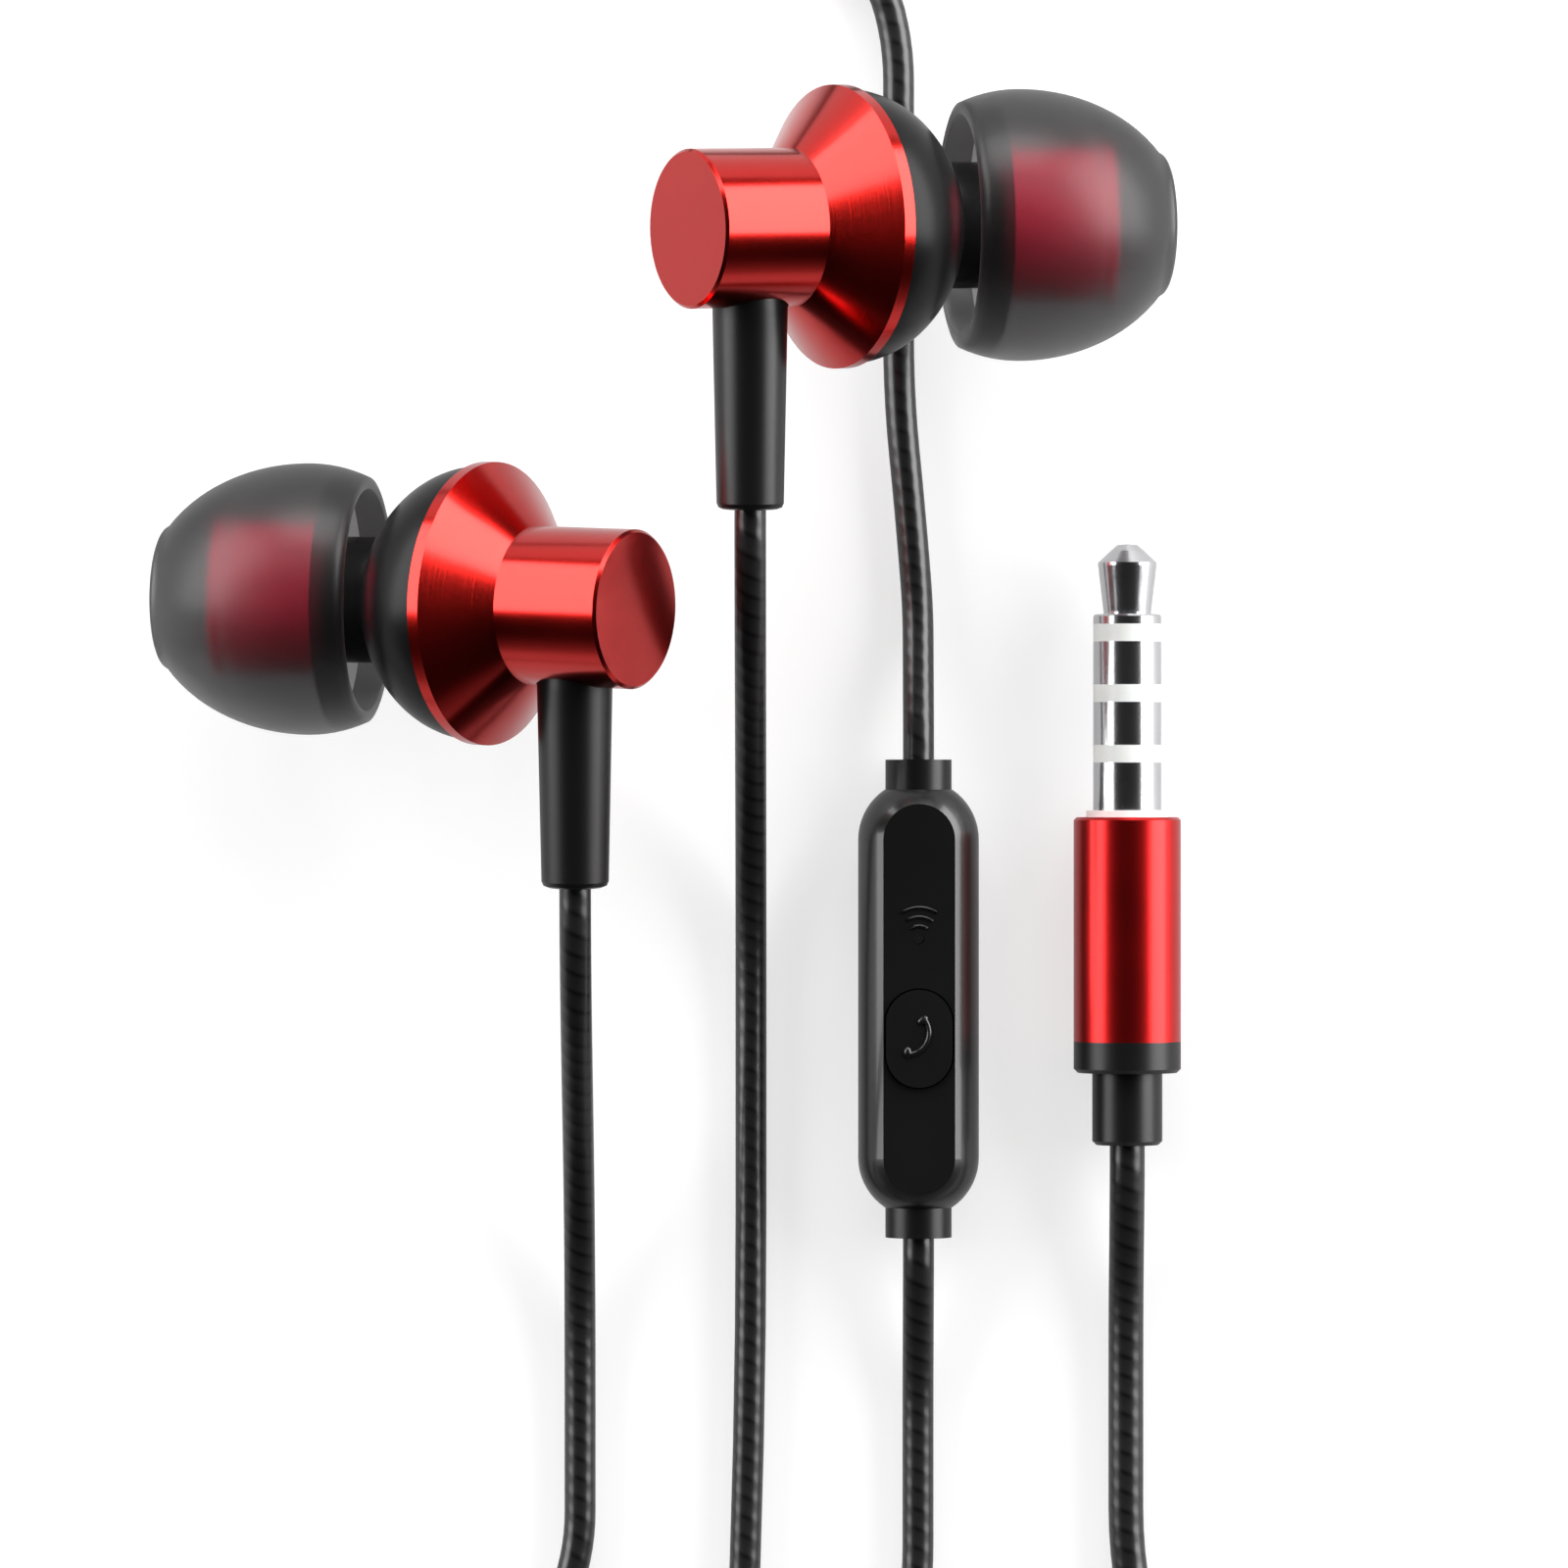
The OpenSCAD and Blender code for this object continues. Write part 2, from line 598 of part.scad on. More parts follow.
module oblong(w, len, from, to) {
    translate([0, 0, from]) linear_extrude(to - from) {
        square([w, len - w], center = true);
        for (s = [-1, 1]) translate([0, s * (len - w) / 2]) circle(d = w);
    }
}

module case_half(upper) {
    difference() {
        pill(remote_round, remote_straight, remote_h);
        pill(inner_round, remote_straight, inner_h);
        translate([-remote_w, -remote_len, upper ? -remote_h : 0])
            cube([2 * remote_w, 2 * remote_len, remote_h]);
        rotate([90, 0, 0]) rod(collar_r + fit, -remote_len, remote_len);
    }
}

module remote_top_case() {
    color(GLOSS_BLACK) translate(remote_pos) difference() {
        case_half(true);
        translate([0, button_y, 0])
            oblong(button_w + 2 * button_gap, button_len + 2 * button_gap, 0, remote_h);
        translate([0, mic_y, 0]) rod(port_r, 0, remote_h);
    }
}

module remote_base_case() { color(GLOSS_BLACK) translate(remote_pos) case_half(false); }

module call_button() {
    tab_top = inner_h / 2 - tab_drop;
    color(GLOSS_BLACK) translate(remote_pos + [0, button_y, 0]) {
        oblong(button_w, button_len, tab_top - eps, remote_h / 2 + button_proud);
        translate([0, 0, tab_top - tab_h / 2])
            cube([button_w - 1, button_len + 2 * button_tab, tab_h], center = true);
        rod(0.6, pcb_top + switch_h + dome_h + 0.02, tab_top - tab_h + eps);
    }
}

module switch_dome() {
    base = pcb_top + switch_h;
    steps = 6;
    sheet = 0.1;
    arc = [for (i = [0:steps]) let (s = i / steps)
        [switch_dome_r * s, base + (dome_h - sheet) * (1 - s * s)]];
    color(STEEL) translate(remote_pos + [0, button_y, 0]) turned(concat(arc,
        [for (i = [steps:-1:0]) arc[i] + [0, sheet]]));
}

module switch_body() {
    color(SOFT_BLACK) translate(remote_pos + [0, button_y, pcb_top])
        translate([-1.6, -1.8, 0]) cube([3.2, 3.6, switch_h]);
}

module remote_board() {
    color(BOARD_GREEN) translate(remote_pos + [0, 0, pcb_top - pcb_h])
        translate([-pcb_w / 2, -pcb_len / 2, 0]) cube([pcb_w, pcb_len, pcb_h]);
}

module mic_capsule() {
    color(NICKEL) translate(remote_pos + [0, mic_y, pcb_top]) rod(mic_r, 0, mic_h);
}

module mic_gasket() {
    color(SOFT_BLACK) translate(remote_pos + [0, mic_y, 0])
        tube(1.1, 0.5, pcb_top + mic_h, inner_h / 2);
}

// A round collar in the case's end, with a flange that keeps it in.
module remote_collar(way) {
    end = remote_end;
    inside = remote_len / 2 - remote_wall - collar_in;
    color(SOFT_BLACK) translate(remote_pos) rotate([way > 0 ? -90 : 90, 0, 0]) {
        rod(collar_r, inside, end);
        rod(min(collar_r + 0.3, inner_h / 2 - 0.05), inside, inside + collar_flange);
    }
}

// ---- Plug ----

// Lays the plug along Y, with its jack pointing to +Y.
module at_plug() { translate(plug_pos) rotate([90, 0, 0]) children(); }

module jack_tip() {
    color(NICKEL) at_plug() {
        turned([[0, 0], [0.3 * jack_r, 0.05], [0.5 * jack_r, 0.35], [0.86 * jack_r, 0.95],
            [0.86 * jack_r, 1.1], [0.7 * jack_r, jack_tip_len - 0.6],
            [0.7 * jack_r, jack_tip_len - 0.5], [jack_r - 0.1, jack_tip_len - 0.5],
            [jack_r, jack_tip_len - 0.4], [jack_r, u_tip], [0, u_tip]]);
        rod(pin_r, u_tip - eps, u_barrel + shank_len + 1);
    }
}

module jack_first_ring() {
    color(NICKEL) at_plug() tube(jack_r, jack_bore_r, u_ring1, u_ring1 + jack_ring_len);
}

module jack_second_ring() {
    color(NICKEL) at_plug() tube(jack_r, jack_bore_r, u_ring2, u_ring2 + jack_ring_len);
}

module jack_sleeve() {
    color(NICKEL) at_plug() difference() {
        union() {
            rod(jack_r, u_sleeve, u_shoulder);
            rod(shank_r, u_shoulder - eps, u_barrel + shank_len);
        }
        rod(jack_bore_r, u_sleeve - 1, u_barrel + shank_len + 1);
    }
}

module jack_insulators() {
    color(PALE_PLASTIC) at_plug() {
        tube(jack_r, pin_r, u_tip, u_ring1);
        tube(jack_bore_r, pin_r, u_ring1 - eps, u_barrel + shank_len);
        for (u = [u_ring1 + jack_ring_len, u_ring2 + jack_ring_len])
            tube(jack_r, jack_bore_r - eps, u, u + jack_gap);
    }
}

module shoulder_ring() {
    color(PALE_PLASTIC) at_plug() tube(shoulder_r, shank_r, u_shoulder, u_barrel);
}

module plug_core() {
    from = u_barrel + barrel_front;
    shank_end = u_barrel + shank_len;
    color(SOFT_BLACK) at_plug() difference() {
        rod(barrel_r - barrel_wall - fit, from, u_collar - spigot_in);
        rod(shank_r, from - 1, shank_end);
        rod(pin_r, shank_end - 1, shank_end + 1);
    }
}

module plug_barrel() {
    color(METAL_RED) at_plug() difference() {
        turned([[0, u_barrel], [barrel_r - edge_break, u_barrel],
            [barrel_r, u_barrel + edge_break], [barrel_r, u_collar], [0, u_collar]]);
        rod(barrel_r - barrel_wall, u_barrel + barrel_front, u_collar + 1);
        rod(shank_r + fit, u_barrel - 1, u_barrel + barrel_front + 1);
    }
}

module plug_tail() {
    break_r = 0.2;
    color(SOFT_BLACK) at_plug() turned([
        [0, u_collar - spigot_in], [barrel_r - barrel_wall - fit, u_collar - spigot_in],
        [barrel_r - barrel_wall - fit, u_collar], [barrel_r, u_collar],
        [barrel_r, u_tail - break_r], [barrel_r - break_r, u_tail], [tail_r, u_tail],
        [tail_r, plug_len - break_r], [tail_r - break_r, plug_len], [0, plug_len]]);
}

// ---- Cords ----

module y_joint() {
    half = y_joint_len / 2;
    color(SOFT_BLACK) translate(y_joint_pos) hull() {
        for (side = [-1, 1]) translate([0, side * y_joint_apart / 2, 0])
            about_x() cylinder(r = y_joint_r, h = half, $fn = 32);
        translate([-half, 0, 0]) about_x() cylinder(r = y_joint_slim, h = 1, $fn = 32);
    }
}

module cord(line, d) { color(SOFT_BLACK) swept(line, d, 8); }

module coil(name, line, d) {
    report_gap(name, line, d);
    color(SOFT_BLACK) swept(line, d, 6);
}

for (side = SIDES) at_ear(side) {
    rear_shell();
    front_shell();
    nozzle_mesh();
    tip_skirt();
    tip_core();
    strain_relief();
    cord_knot();
    lead_wires();
    solder_board();
    driver_frame();
    yoke();
    magnet();
    top_plate();
    voice_coil();
    diaphragm();
}

remote_top_case();
remote_base_case();
call_button();
switch_dome();
switch_body();
remote_board();
mic_capsule();
mic_gasket();
remote_collar(1);  // remote_upper_collar
remote_collar(-1);  // remote_lower_collar

jack_tip();
jack_first_ring();
jack_second_ring();
jack_sleeve();
jack_insulators();
shoulder_ring();
plug_core();
plug_barrel();
plug_tail();

cord(left_upper_route, branch_d);  // cord_left_upper
cord(left_lower_route, branch_d);  // cord_left_lower
union() {  // cord_right
    cord(right_in_route, branch_d);
    cord(right_out_route, branch_d);
}
coil("coil_right", right_coil_line, branch_d);  // coil_right
y_joint();
union() {  // cord_main
    cord(main_in_route, main_d);
    cord(main_out_route, main_d);
}
coil("coil_main", main_coil_line, main_d);  // coil_main
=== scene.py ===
"""Looks of wired in-ear earphones: metal shells, silicone tips, remote, plug and cords."""

from __future__ import annotations

import json
import logging
import math
from dataclasses import dataclass
from enum import Enum

import bpy
from mathutils import Matrix, Vector

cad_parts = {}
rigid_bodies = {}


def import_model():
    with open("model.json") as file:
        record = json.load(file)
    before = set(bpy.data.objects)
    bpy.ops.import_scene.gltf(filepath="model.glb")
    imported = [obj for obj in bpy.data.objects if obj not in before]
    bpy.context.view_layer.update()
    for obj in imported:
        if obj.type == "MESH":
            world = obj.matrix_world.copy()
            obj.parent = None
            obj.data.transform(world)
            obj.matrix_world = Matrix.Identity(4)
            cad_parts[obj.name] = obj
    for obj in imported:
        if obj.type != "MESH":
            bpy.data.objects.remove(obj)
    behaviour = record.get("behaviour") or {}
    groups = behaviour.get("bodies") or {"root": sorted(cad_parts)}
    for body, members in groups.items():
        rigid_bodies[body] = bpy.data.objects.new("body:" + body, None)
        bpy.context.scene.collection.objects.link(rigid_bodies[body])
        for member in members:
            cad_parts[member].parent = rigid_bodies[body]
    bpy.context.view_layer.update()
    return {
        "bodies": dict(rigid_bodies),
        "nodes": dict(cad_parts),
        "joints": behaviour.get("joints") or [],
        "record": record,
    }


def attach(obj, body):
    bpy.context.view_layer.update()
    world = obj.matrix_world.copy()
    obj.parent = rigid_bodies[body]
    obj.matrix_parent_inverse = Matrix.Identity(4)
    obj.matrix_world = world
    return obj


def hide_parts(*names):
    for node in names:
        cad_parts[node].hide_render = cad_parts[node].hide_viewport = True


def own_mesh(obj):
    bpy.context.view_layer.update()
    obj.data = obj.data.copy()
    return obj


LOG = logging.getLogger("earphones")
MM = 0.001
Point = tuple[float, float, float]
Outline = list[tuple[float, float]]
Kit = dict[str, bpy.types.Material]

FRAME: dict = {}


class Side(Enum):
    """Which ear an earpiece is for. Its value is the way it lies from the middle, along X."""

    LEFT = -1
    RIGHT = 1

    @property
    def word(self) -> str:
        """The side as it stands in the names of the nodes."""
        return self.name.lower()


# Bench work


class Bench:
    """Modelling steps that the pieces share."""

    @staticmethod
    def clear_selection() -> None:
        """Leaves object mode with nothing selected."""
        if bpy.context.mode != "OBJECT":
            bpy.ops.object.mode_set(mode="OBJECT")
        bpy.ops.object.select_all(action="DESELECT")

    @staticmethod
    def take(piece: bpy.types.Object) -> None:
        """Selects one piece and makes it active."""
        Bench.clear_selection()
        piece.select_set(True)
        bpy.context.view_layer.objects.active = piece

    @staticmethod
    def name_it(name: str) -> bpy.types.Object:
        """Names the active object and its mesh, and returns it."""
        piece = bpy.context.active_object
        piece.name = name
        piece.data.name = name
        return piece

    @staticmethod
    def point_outwards(piece: bpy.types.Object) -> None:
        """Merges doubles and turns all faces outwards."""
        Bench.take(piece)
        bpy.ops.object.mode_set(mode="EDIT")
        bpy.ops.mesh.select_all(action="SELECT")
        bpy.ops.mesh.remove_doubles(threshold=1e-7)
        bpy.ops.mesh.normals_make_consistent(inside=False)
        bpy.ops.object.mode_set(mode="OBJECT")

    @staticmethod
    def smooth(piece: bpy.types.Object, degrees: float = 35) -> None:
        """Shades a piece smooth, with edges sharper than the angle left crisp."""
        Bench.take(piece)
        bpy.ops.object.shade_smooth_by_angle(angle=math.radians(degrees))

    @staticmethod
    def place(piece: bpy.types.Object, matrix: Matrix) -> None:
        """Puts a piece in its place through its mesh, so that its object stays at the origin."""
        piece.data.transform(matrix)
        Bench.point_outwards(piece)

    @staticmethod
    def turn_up(name: str, outline: Outline, steps: int = 96) -> bpy.types.Object:
        """Turns a closed outline about Z, as on a lathe.

        Args:
            name: The piece's name.
            outline: (radius, height) pairs in millimetres, round the section and not back
                to the first.
            steps: Vertices in each ring.

        Returns:
            The piece, closed, in metres.
        """
        Bench.clear_selection()
        radius, height = outline[0]
        bpy.ops.mesh.primitive_circle_add(
            vertices=steps, radius=radius * MM, location=(0, 0, height * MM), fill_type="NOTHING"
        )
        piece = Bench.name_it(name)
        piece.data.transform(Matrix.Translation(piece.location))
        piece.location = (0, 0, 0)
        bpy.ops.object.mode_set(mode="EDIT")
        bpy.ops.mesh.select_all(action="SELECT")
        for next_radius, next_height in [*outline[1:], outline[0]]:
            bpy.ops.mesh.extrude_edges_move(
                TRANSFORM_OT_translate={"value": (0, 0, (next_height - height) * MM)}
            )
            grown = next_radius / radius
            bpy.ops.transform.resize(
                value=(grown, grown, 1), center_override=(0, 0, next_height * MM)
            )
            radius, height = next_radius, next_height
        bpy.ops.object.mode_set(mode="OBJECT")
        Bench.point_outwards(piece)
        return piece

    @staticmethod
    def join(name: str, pieces: list[bpy.types.Object]) -> bpy.types.Object:
        """Joins several meshes into one piece of that name."""
        Bench.clear_selection()
        for piece in pieces:
            piece.select_set(True)
        bpy.context.view_layer.objects.active = pieces[0]
        if len(pieces) > 1:
            bpy.ops.object.join()
        return Bench.name_it(name)


# Shader groups and finishes


class Shader:
    """A node tree under construction, with short ways to add and link its nodes."""

    def __init__(self, tree: bpy.types.NodeTree) -> None:
        """Takes the tree to build in."""
        self.tree = tree

    def add(self, kind: str, **settings: object) -> bpy.types.Node:
        """Adds a node of that kind and sets its properties."""
        node = self.tree.nodes.new(kind)
        for key, value in settings.items():
            setattr(node, key, value)
        return node

    def link(self, source: bpy.types.NodeSocket, target: bpy.types.NodeSocket) -> None:
        """Links an output to an input."""
        self.tree.links.new(source, target)

    def math(self, operation: str, first: object, second: object = 0.0) -> bpy.types.NodeSocket:
        """Adds a Math node; each operand is a socket or a number. Returns its output."""
        node = self.add("ShaderNodeMath", operation=operation)
        for slot, value in enumerate((first, second)):
            if isinstance(value, bpy.types.NodeSocket):
                self.link(value, node.inputs[slot])
            else:
                node.inputs[slot].default_value = value
        return node.outputs[0]

    def spread(
        self, source: bpy.types.NodeSocket, low: object, high: object
    ) -> bpy.types.NodeSocket:
        """Maps 0..1 to low..high, where each end is a socket or a number."""
        node = self.add("ShaderNodeMapRange")
        self.link(source, node.inputs["Value"])
        for name, value in (("To Min", low), ("To Max", high)):
            if isinstance(value, bpy.types.NodeSocket):
                self.link(value, node.inputs[name])
            else:
                node.inputs[name].default_value = value
        return node.outputs["Result"]

    def noise(
        self, vector: bpy.types.NodeSocket, scale: object, detail: float = 2.0
    ) -> bpy.types.NodeSocket:
        """Adds a noise texture and returns its value."""
        node = self.add("ShaderNodeTexNoise")
        node.inputs["Detail"].default_value = detail
        self.link(vector, node.inputs["Vector"])
        if isinstance(scale, bpy.types.NodeSocket):
            self.link(scale, node.inputs["Scale"])
        else:
            node.inputs["Scale"].default_value = scale
        return node.outputs["Fac"]


def new_group(
    name: str, takes: dict[str, tuple[str, float | None]], gives: dict[str, str]
) -> tuple[Shader, dict[str, bpy.types.NodeSocket], dict[str, bpy.types.NodeSocket]]:
    """Starts a shader node group.

    Args:
        name: The group's name.
        takes: Input name to socket type and default.
        gives: Output name to socket type.

    Returns:
        The shader to build with, the inner ends of its inputs, and those of its outputs.
    """
    tree = bpy.data.node_groups.new(name, "ShaderNodeTree")
    for label, (kind, default) in takes.items():
        socket = tree.interface.new_socket(label, in_out="INPUT", socket_type=kind)
        if default is not None:
            socket.default_value = default
    for label, kind in gives.items():
        tree.interface.new_socket(label, in_out="OUTPUT", socket_type=kind)
    shader = Shader(tree)
    start, end = shader.add("NodeGroupInput"), shader.add("NodeGroupOutput")
    return (
        shader,
        {label: start.outputs[label] for label in takes},
        {label: end.inputs[label] for label in gives},
    )


FLOAT, VECTOR = "NodeSocketFloat", "NodeSocketVector"

# How much of a surface's uneven gloss comes from its fine grain, and how far down it
# scatters light, in metres.
GRAIN_SHARE = 0.35
SCATTER_DEPTH = 0.001


class Effects:
    """The shader node groups that more than one finish uses, each built once."""

    def __init__(self) -> None:
        """Builds the groups."""
        self.handling = self._handling()
        self.turning = self._turning()
        self.twist = self._twist()

    @staticmethod
    def _handling() -> bpy.types.NodeTree:
        """Uneven gloss from handling, with a fine grain under it."""
        shader, takes, gives = new_group(
            "handling_and_grain",
            {
                "Vector": (VECTOR, None),
                "Patch Scale": (FLOAT, 300.0),
                "Grain Scale": (FLOAT, 9000.0),
                "Low": (FLOAT, 0.2),
                "High": (FLOAT, 0.3),
            },
            {"Roughness": FLOAT, "Grain": FLOAT, "Patches": FLOAT},
        )
        patches = shader.noise(takes["Vector"], takes["Patch Scale"], 3.0)
        grain = shader.noise(takes["Vector"], takes["Grain Scale"], 2.0)
        fine = shader.math("MULTIPLY", grain, GRAIN_SHARE)
        broad = shader.math("MULTIPLY", patches, 1 - GRAIN_SHARE)
        mixed = shader.math("ADD", fine, broad)
        shader.link(shader.spread(mixed, takes["Low"], takes["High"]), gives["Roughness"])
        shader.link(grain, gives["Grain"])
        shader.link(patches, gives["Patches"])
        return shader.tree

    @staticmethod
    def _turning() -> bpy.types.NodeTree:
        """Fine lathe marks about the X axis of the vector that comes in."""
        shader, takes, gives = new_group(
            "lathe_marks",
            {"Vector": (VECTOR, None), "Marks per Metre": (FLOAT, 12000.0)},
            {"Height": FLOAT},
        )
        split = shader.add("ShaderNodeSeparateXYZ")
        shader.link(takes["Vector"], split.inputs[0])
        y, z = split.outputs["Y"], split.outputs["Z"]
        square = shader.math("ADD", shader.math("MULTIPLY", y, y), shader.math("MULTIPLY", z, z))
        radius = shader.math("SQRT", square)
        joined = shader.add("ShaderNodeCombineXYZ")
        shader.link(split.outputs["X"], joined.inputs["X"])
        shader.link(radius, joined.inputs["Y"])
        fine = shader.noise(joined.outputs[0], takes["Marks per Metre"], 1.0)
        shader.link(fine, gives["Height"])
        return shader.tree

    @staticmethod
    def _twist() -> bpy.types.NodeTree:
        """Twisted strands that show faintly through a cord's jacket, laid by its UV map."""
        shader, takes, gives = new_group(
            "twisted_strands",
            {"UV": (VECTOR, None), "Turns per Metre": (FLOAT, 600.0), "Strands": (FLOAT, 3.0)},
            {"Ridge": FLOAT, "Gap": FLOAT},
        )
        split = shader.add("ShaderNodeSeparateXYZ")
        shader.link(takes["UV"], split.inputs[0])
        around = shader.math("MULTIPLY", split.outputs["X"], takes["Strands"])
        along = shader.math("MULTIPLY", split.outputs["Y"], takes["Turns per Metre"])
        turn = shader.math("MULTIPLY", shader.math("ADD", around, along), math.tau)
        wave = shader.math("MULTIPLY_ADD", shader.math("SINE", turn), 0.5)
        wave.node.inputs[2].default_value = 0.5
        shader.link(wave, gives["Ridge"])
        shader.link(shader.math("POWER", wave, 6.0), gives["Gap"])
        return shader.tree


@dataclass(frozen=True)
class Finish:
    """One finish: its colour, gloss and fine surface.

    The colour and the roughness range are what the bare surface has. Tone is how far the
    colour strays either way. Grain and marks are the depths of the texture and of the
    lathe marks in metres.
    """

    name: str
    colour: Point
    rough: tuple[float, float] = (0.25, 0.35)
    metallic: float = 0.0
    coat: float = 0.0
    coat_rough: float = 0.1
    grain_scale: float = 9000.0
    grain: float = 0.0
    tone: float = 0.12
    transmission: float = 0.0
    ior: float = 1.5
    subsurface: float = 0.0
    specular: float = 0.5
    marks: float = 0.0

    def build(self, effects: Effects, way: Matrix | None = None) -> bpy.types.Material:
        """Makes the material.

        Args:
            effects: The shared shader groups.
            way: For a turned piece, its place; its own X axis is the lathe's.

        Returns:
            The material, ready to be assigned.
        """
        material = bpy.data.materials.new(self.name)
        material.use_nodes = True
        shader = Shader(material.node_tree)
        skin = material.node_tree.nodes["Principled BSDF"]
        for socket, value in (
            ("Metallic", self.metallic),
            ("Coat Weight", self.coat),
            ("Coat Roughness", self.coat_rough),
            ("Transmission Weight", self.transmission),
            ("IOR", self.ior),
            ("Subsurface Weight", self.subsurface),
            ("Subsurface Scale", SCATTER_DEPTH),
            ("Specular IOR Level", self.specular),
        ):
            skin.inputs[socket].default_value = value
        where = shader.add("ShaderNodeTexCoord").outputs["Object"]
        touch = shader.add("ShaderNodeGroup", node_tree=effects.handling)
        shader.link(where, touch.inputs["Vector"])
        touch.inputs["Grain Scale"].default_value = self.grain_scale
        touch.inputs["Low"].default_value, touch.inputs["High"].default_value = self.rough
        shader.link(touch.outputs["Roughness"], skin.inputs["Roughness"])
        blend = shader.add("ShaderNodeMix", data_type="RGBA", blend_type="MIX")
        darker = [c * (1 - self.tone) for c in self.colour]
        lighter = [min(1.0, c * (1 + self.tone)) for c in self.colour]
        blend.inputs["A"].default_value = (*darker, 1)
        blend.inputs["B"].default_value = (*lighter, 1)
        shader.link(touch.outputs["Patches"], blend.inputs["Factor"])
        shader.link(blend.outputs["Result"], skin.inputs["Base Color"])
        self._relief(shader, skin, touch, where, effects, way)
        return material

    def _relief(
        self,
        shader: Shader,
        skin: bpy.types.Node,
        touch: bpy.types.Node,
        where: bpy.types.NodeSocket,
        effects: Effects,
        way: Matrix | None,
    ) -> None:
        """Adds the grain or the lathe marks as a bump."""
        if not self.grain and not self.marks:
            return
        bump = shader.add("ShaderNodeBump")
        if self.marks and way is not None:
            back = way.inverted()
            turn = shader.add("ShaderNodeMapping", vector_type="POINT")
            turn.inputs["Location"].default_value = back.to_translation()
            turn.inputs["Rotation"].default_value = back.to_euler("XYZ")
            shader.link(where, turn.inputs["Vector"])
            marks = shader.add("ShaderNodeGroup", node_tree=effects.turning)
            shader.link(turn.outputs["Vector"], marks.inputs["Vector"])
            bump.inputs["Distance"].default_value = self.marks
            shader.link(marks.outputs["Height"], bump.inputs["Height"])
        else:
            bump.inputs["Distance"].default_value = self.grain
            shader.link(touch.outputs["Grain"], bump.inputs["Height"])
        bump.inputs["Strength"].default_value = 1.0
        shader.link(bump.outputs["Normal"], skin.inputs["Normal"])


RED_ANODISED = Finish(
    "red_anodised_metal", (0.56, 0.012, 0.008), (0.17, 0.24), metallic=1.0, coat=0.42,
    coat_rough=0.14, tone=0.06, marks=0.000003,
)
RED_SATIN = Finish(
    "red_satin_metal", (0.60, 0.010, 0.010), (0.28, 0.36), metallic=1.0, coat=0.35,
    coat_rough=0.24, tone=0.06, marks=0.000003,
)
POLISHED_NICKEL = Finish(
    "polished_nickel", (0.74, 0.74, 0.76), (0.15, 0.23), metallic=1.0, tone=0.05, marks=0.000001
)
GLOSS_BLACK = Finish(
    "gloss_black_shell", (0.004, 0.004, 0.0043), (0.26, 0.34), specular=0.15
)
REMOTE_BLACK = Finish(
    "remote_black", (0.004, 0.004, 0.0043), (0.28, 0.36), coat=0.25, grain=0.000001,
    grain_scale=14000,
)
BUTTON_BLACK = Finish("button_black", (0.005, 0.005, 0.0053), (0.26, 0.34), coat=0.25)
SOFT_BLACK = Finish(
    "soft_black_rubber", (0.004, 0.004, 0.0043), (0.30, 0.38), grain=0.000002,
    grain_scale=12000, specular=0.42,
)
STRAP_BLACK = Finish(
    "strap_black", (0.020, 0.020, 0.021), (0.70, 0.85), grain=0.00005, grain_scale=5000,
    specular=0.3,
)
PALE_INSULATOR = Finish("pale_insulator", (0.82, 0.82, 0.80), (0.35, 0.45), subsurface=0.1)
RED_SILICONE = Finish(
    "red_silicone", (0.90, 0.016, 0.070), (0.40, 0.52), subsurface=0.15, grain=0.000003
)
SATIN_STEEL = Finish("satin_steel", (0.55, 0.56, 0.57), (0.25, 0.38), metallic=1.0)
SMOKE_SILICONE = Finish(
    "smoke_silicone", (0.055, 0.055, 0.057), (0.42, 0.48), transmission=0.95, ior=1.25,
    tone=0.04, coat=0.35, coat_rough=0.34, specular=0.2, grain=0.000002,
)
CLEAR_SILICONE = Finish(
    "clear_silicone", (0.92, 0.92, 0.92), (0.34, 0.42), transmission=1.0, ior=1.04, tone=0.02,
    specular=0.2,
)
BARE_COPPER = Finish("bare_copper", (0.75, 0.32, 0.16), (0.25, 0.40), metallic=1.0)
BOARD_GREEN = Finish("board_green", (0.015, 0.14, 0.05), (0.30, 0.42), coat=0.4)
INNER_BLACK = Finish("inner_black", (0.02, 0.02, 0.02), (0.50, 0.62), grain=0.000005)
CONE_FILM = Finish("cone_film", (0.30, 0.22, 0.12), (0.30, 0.42))


# Studio


@dataclass(frozen=True)
class Panel:
    """An upright soft panel that faces the middle of the table.

    The angle says where it stands, in degrees from +X towards +Y; rise holds the heights
    of its lower and upper edge in metres, and radiance how bright its face looks.
    """

    name: str
    angle: float
    width: float
    rise: tuple[float, float]
    radiance: float
    distance: float = 0.5

    def build(self) -> None:
        """Sets the panel up."""
        data = bpy.data.lights.new(self.name, "AREA")
        data.shape = "RECTANGLE"
        data.size, data.size_y = self.width, self.rise[1] - self.rise[0]
        data.energy = self.radiance * math.pi * data.size * data.size_y
        lamp = bpy.data.objects.new(self.name, data)
        turn = math.radians(self.angle)
        way = Vector((math.cos(turn), math.sin(turn), 0))
        lamp.location = way * self.distance + Vector((0, 0, sum(self.rise) / 2))
        lamp.rotation_euler = (-way).to_track_quat("-Z", "Y").to_euler()
        lamp.visible_camera = False
        bpy.context.scene.collection.objects.link(lamp)


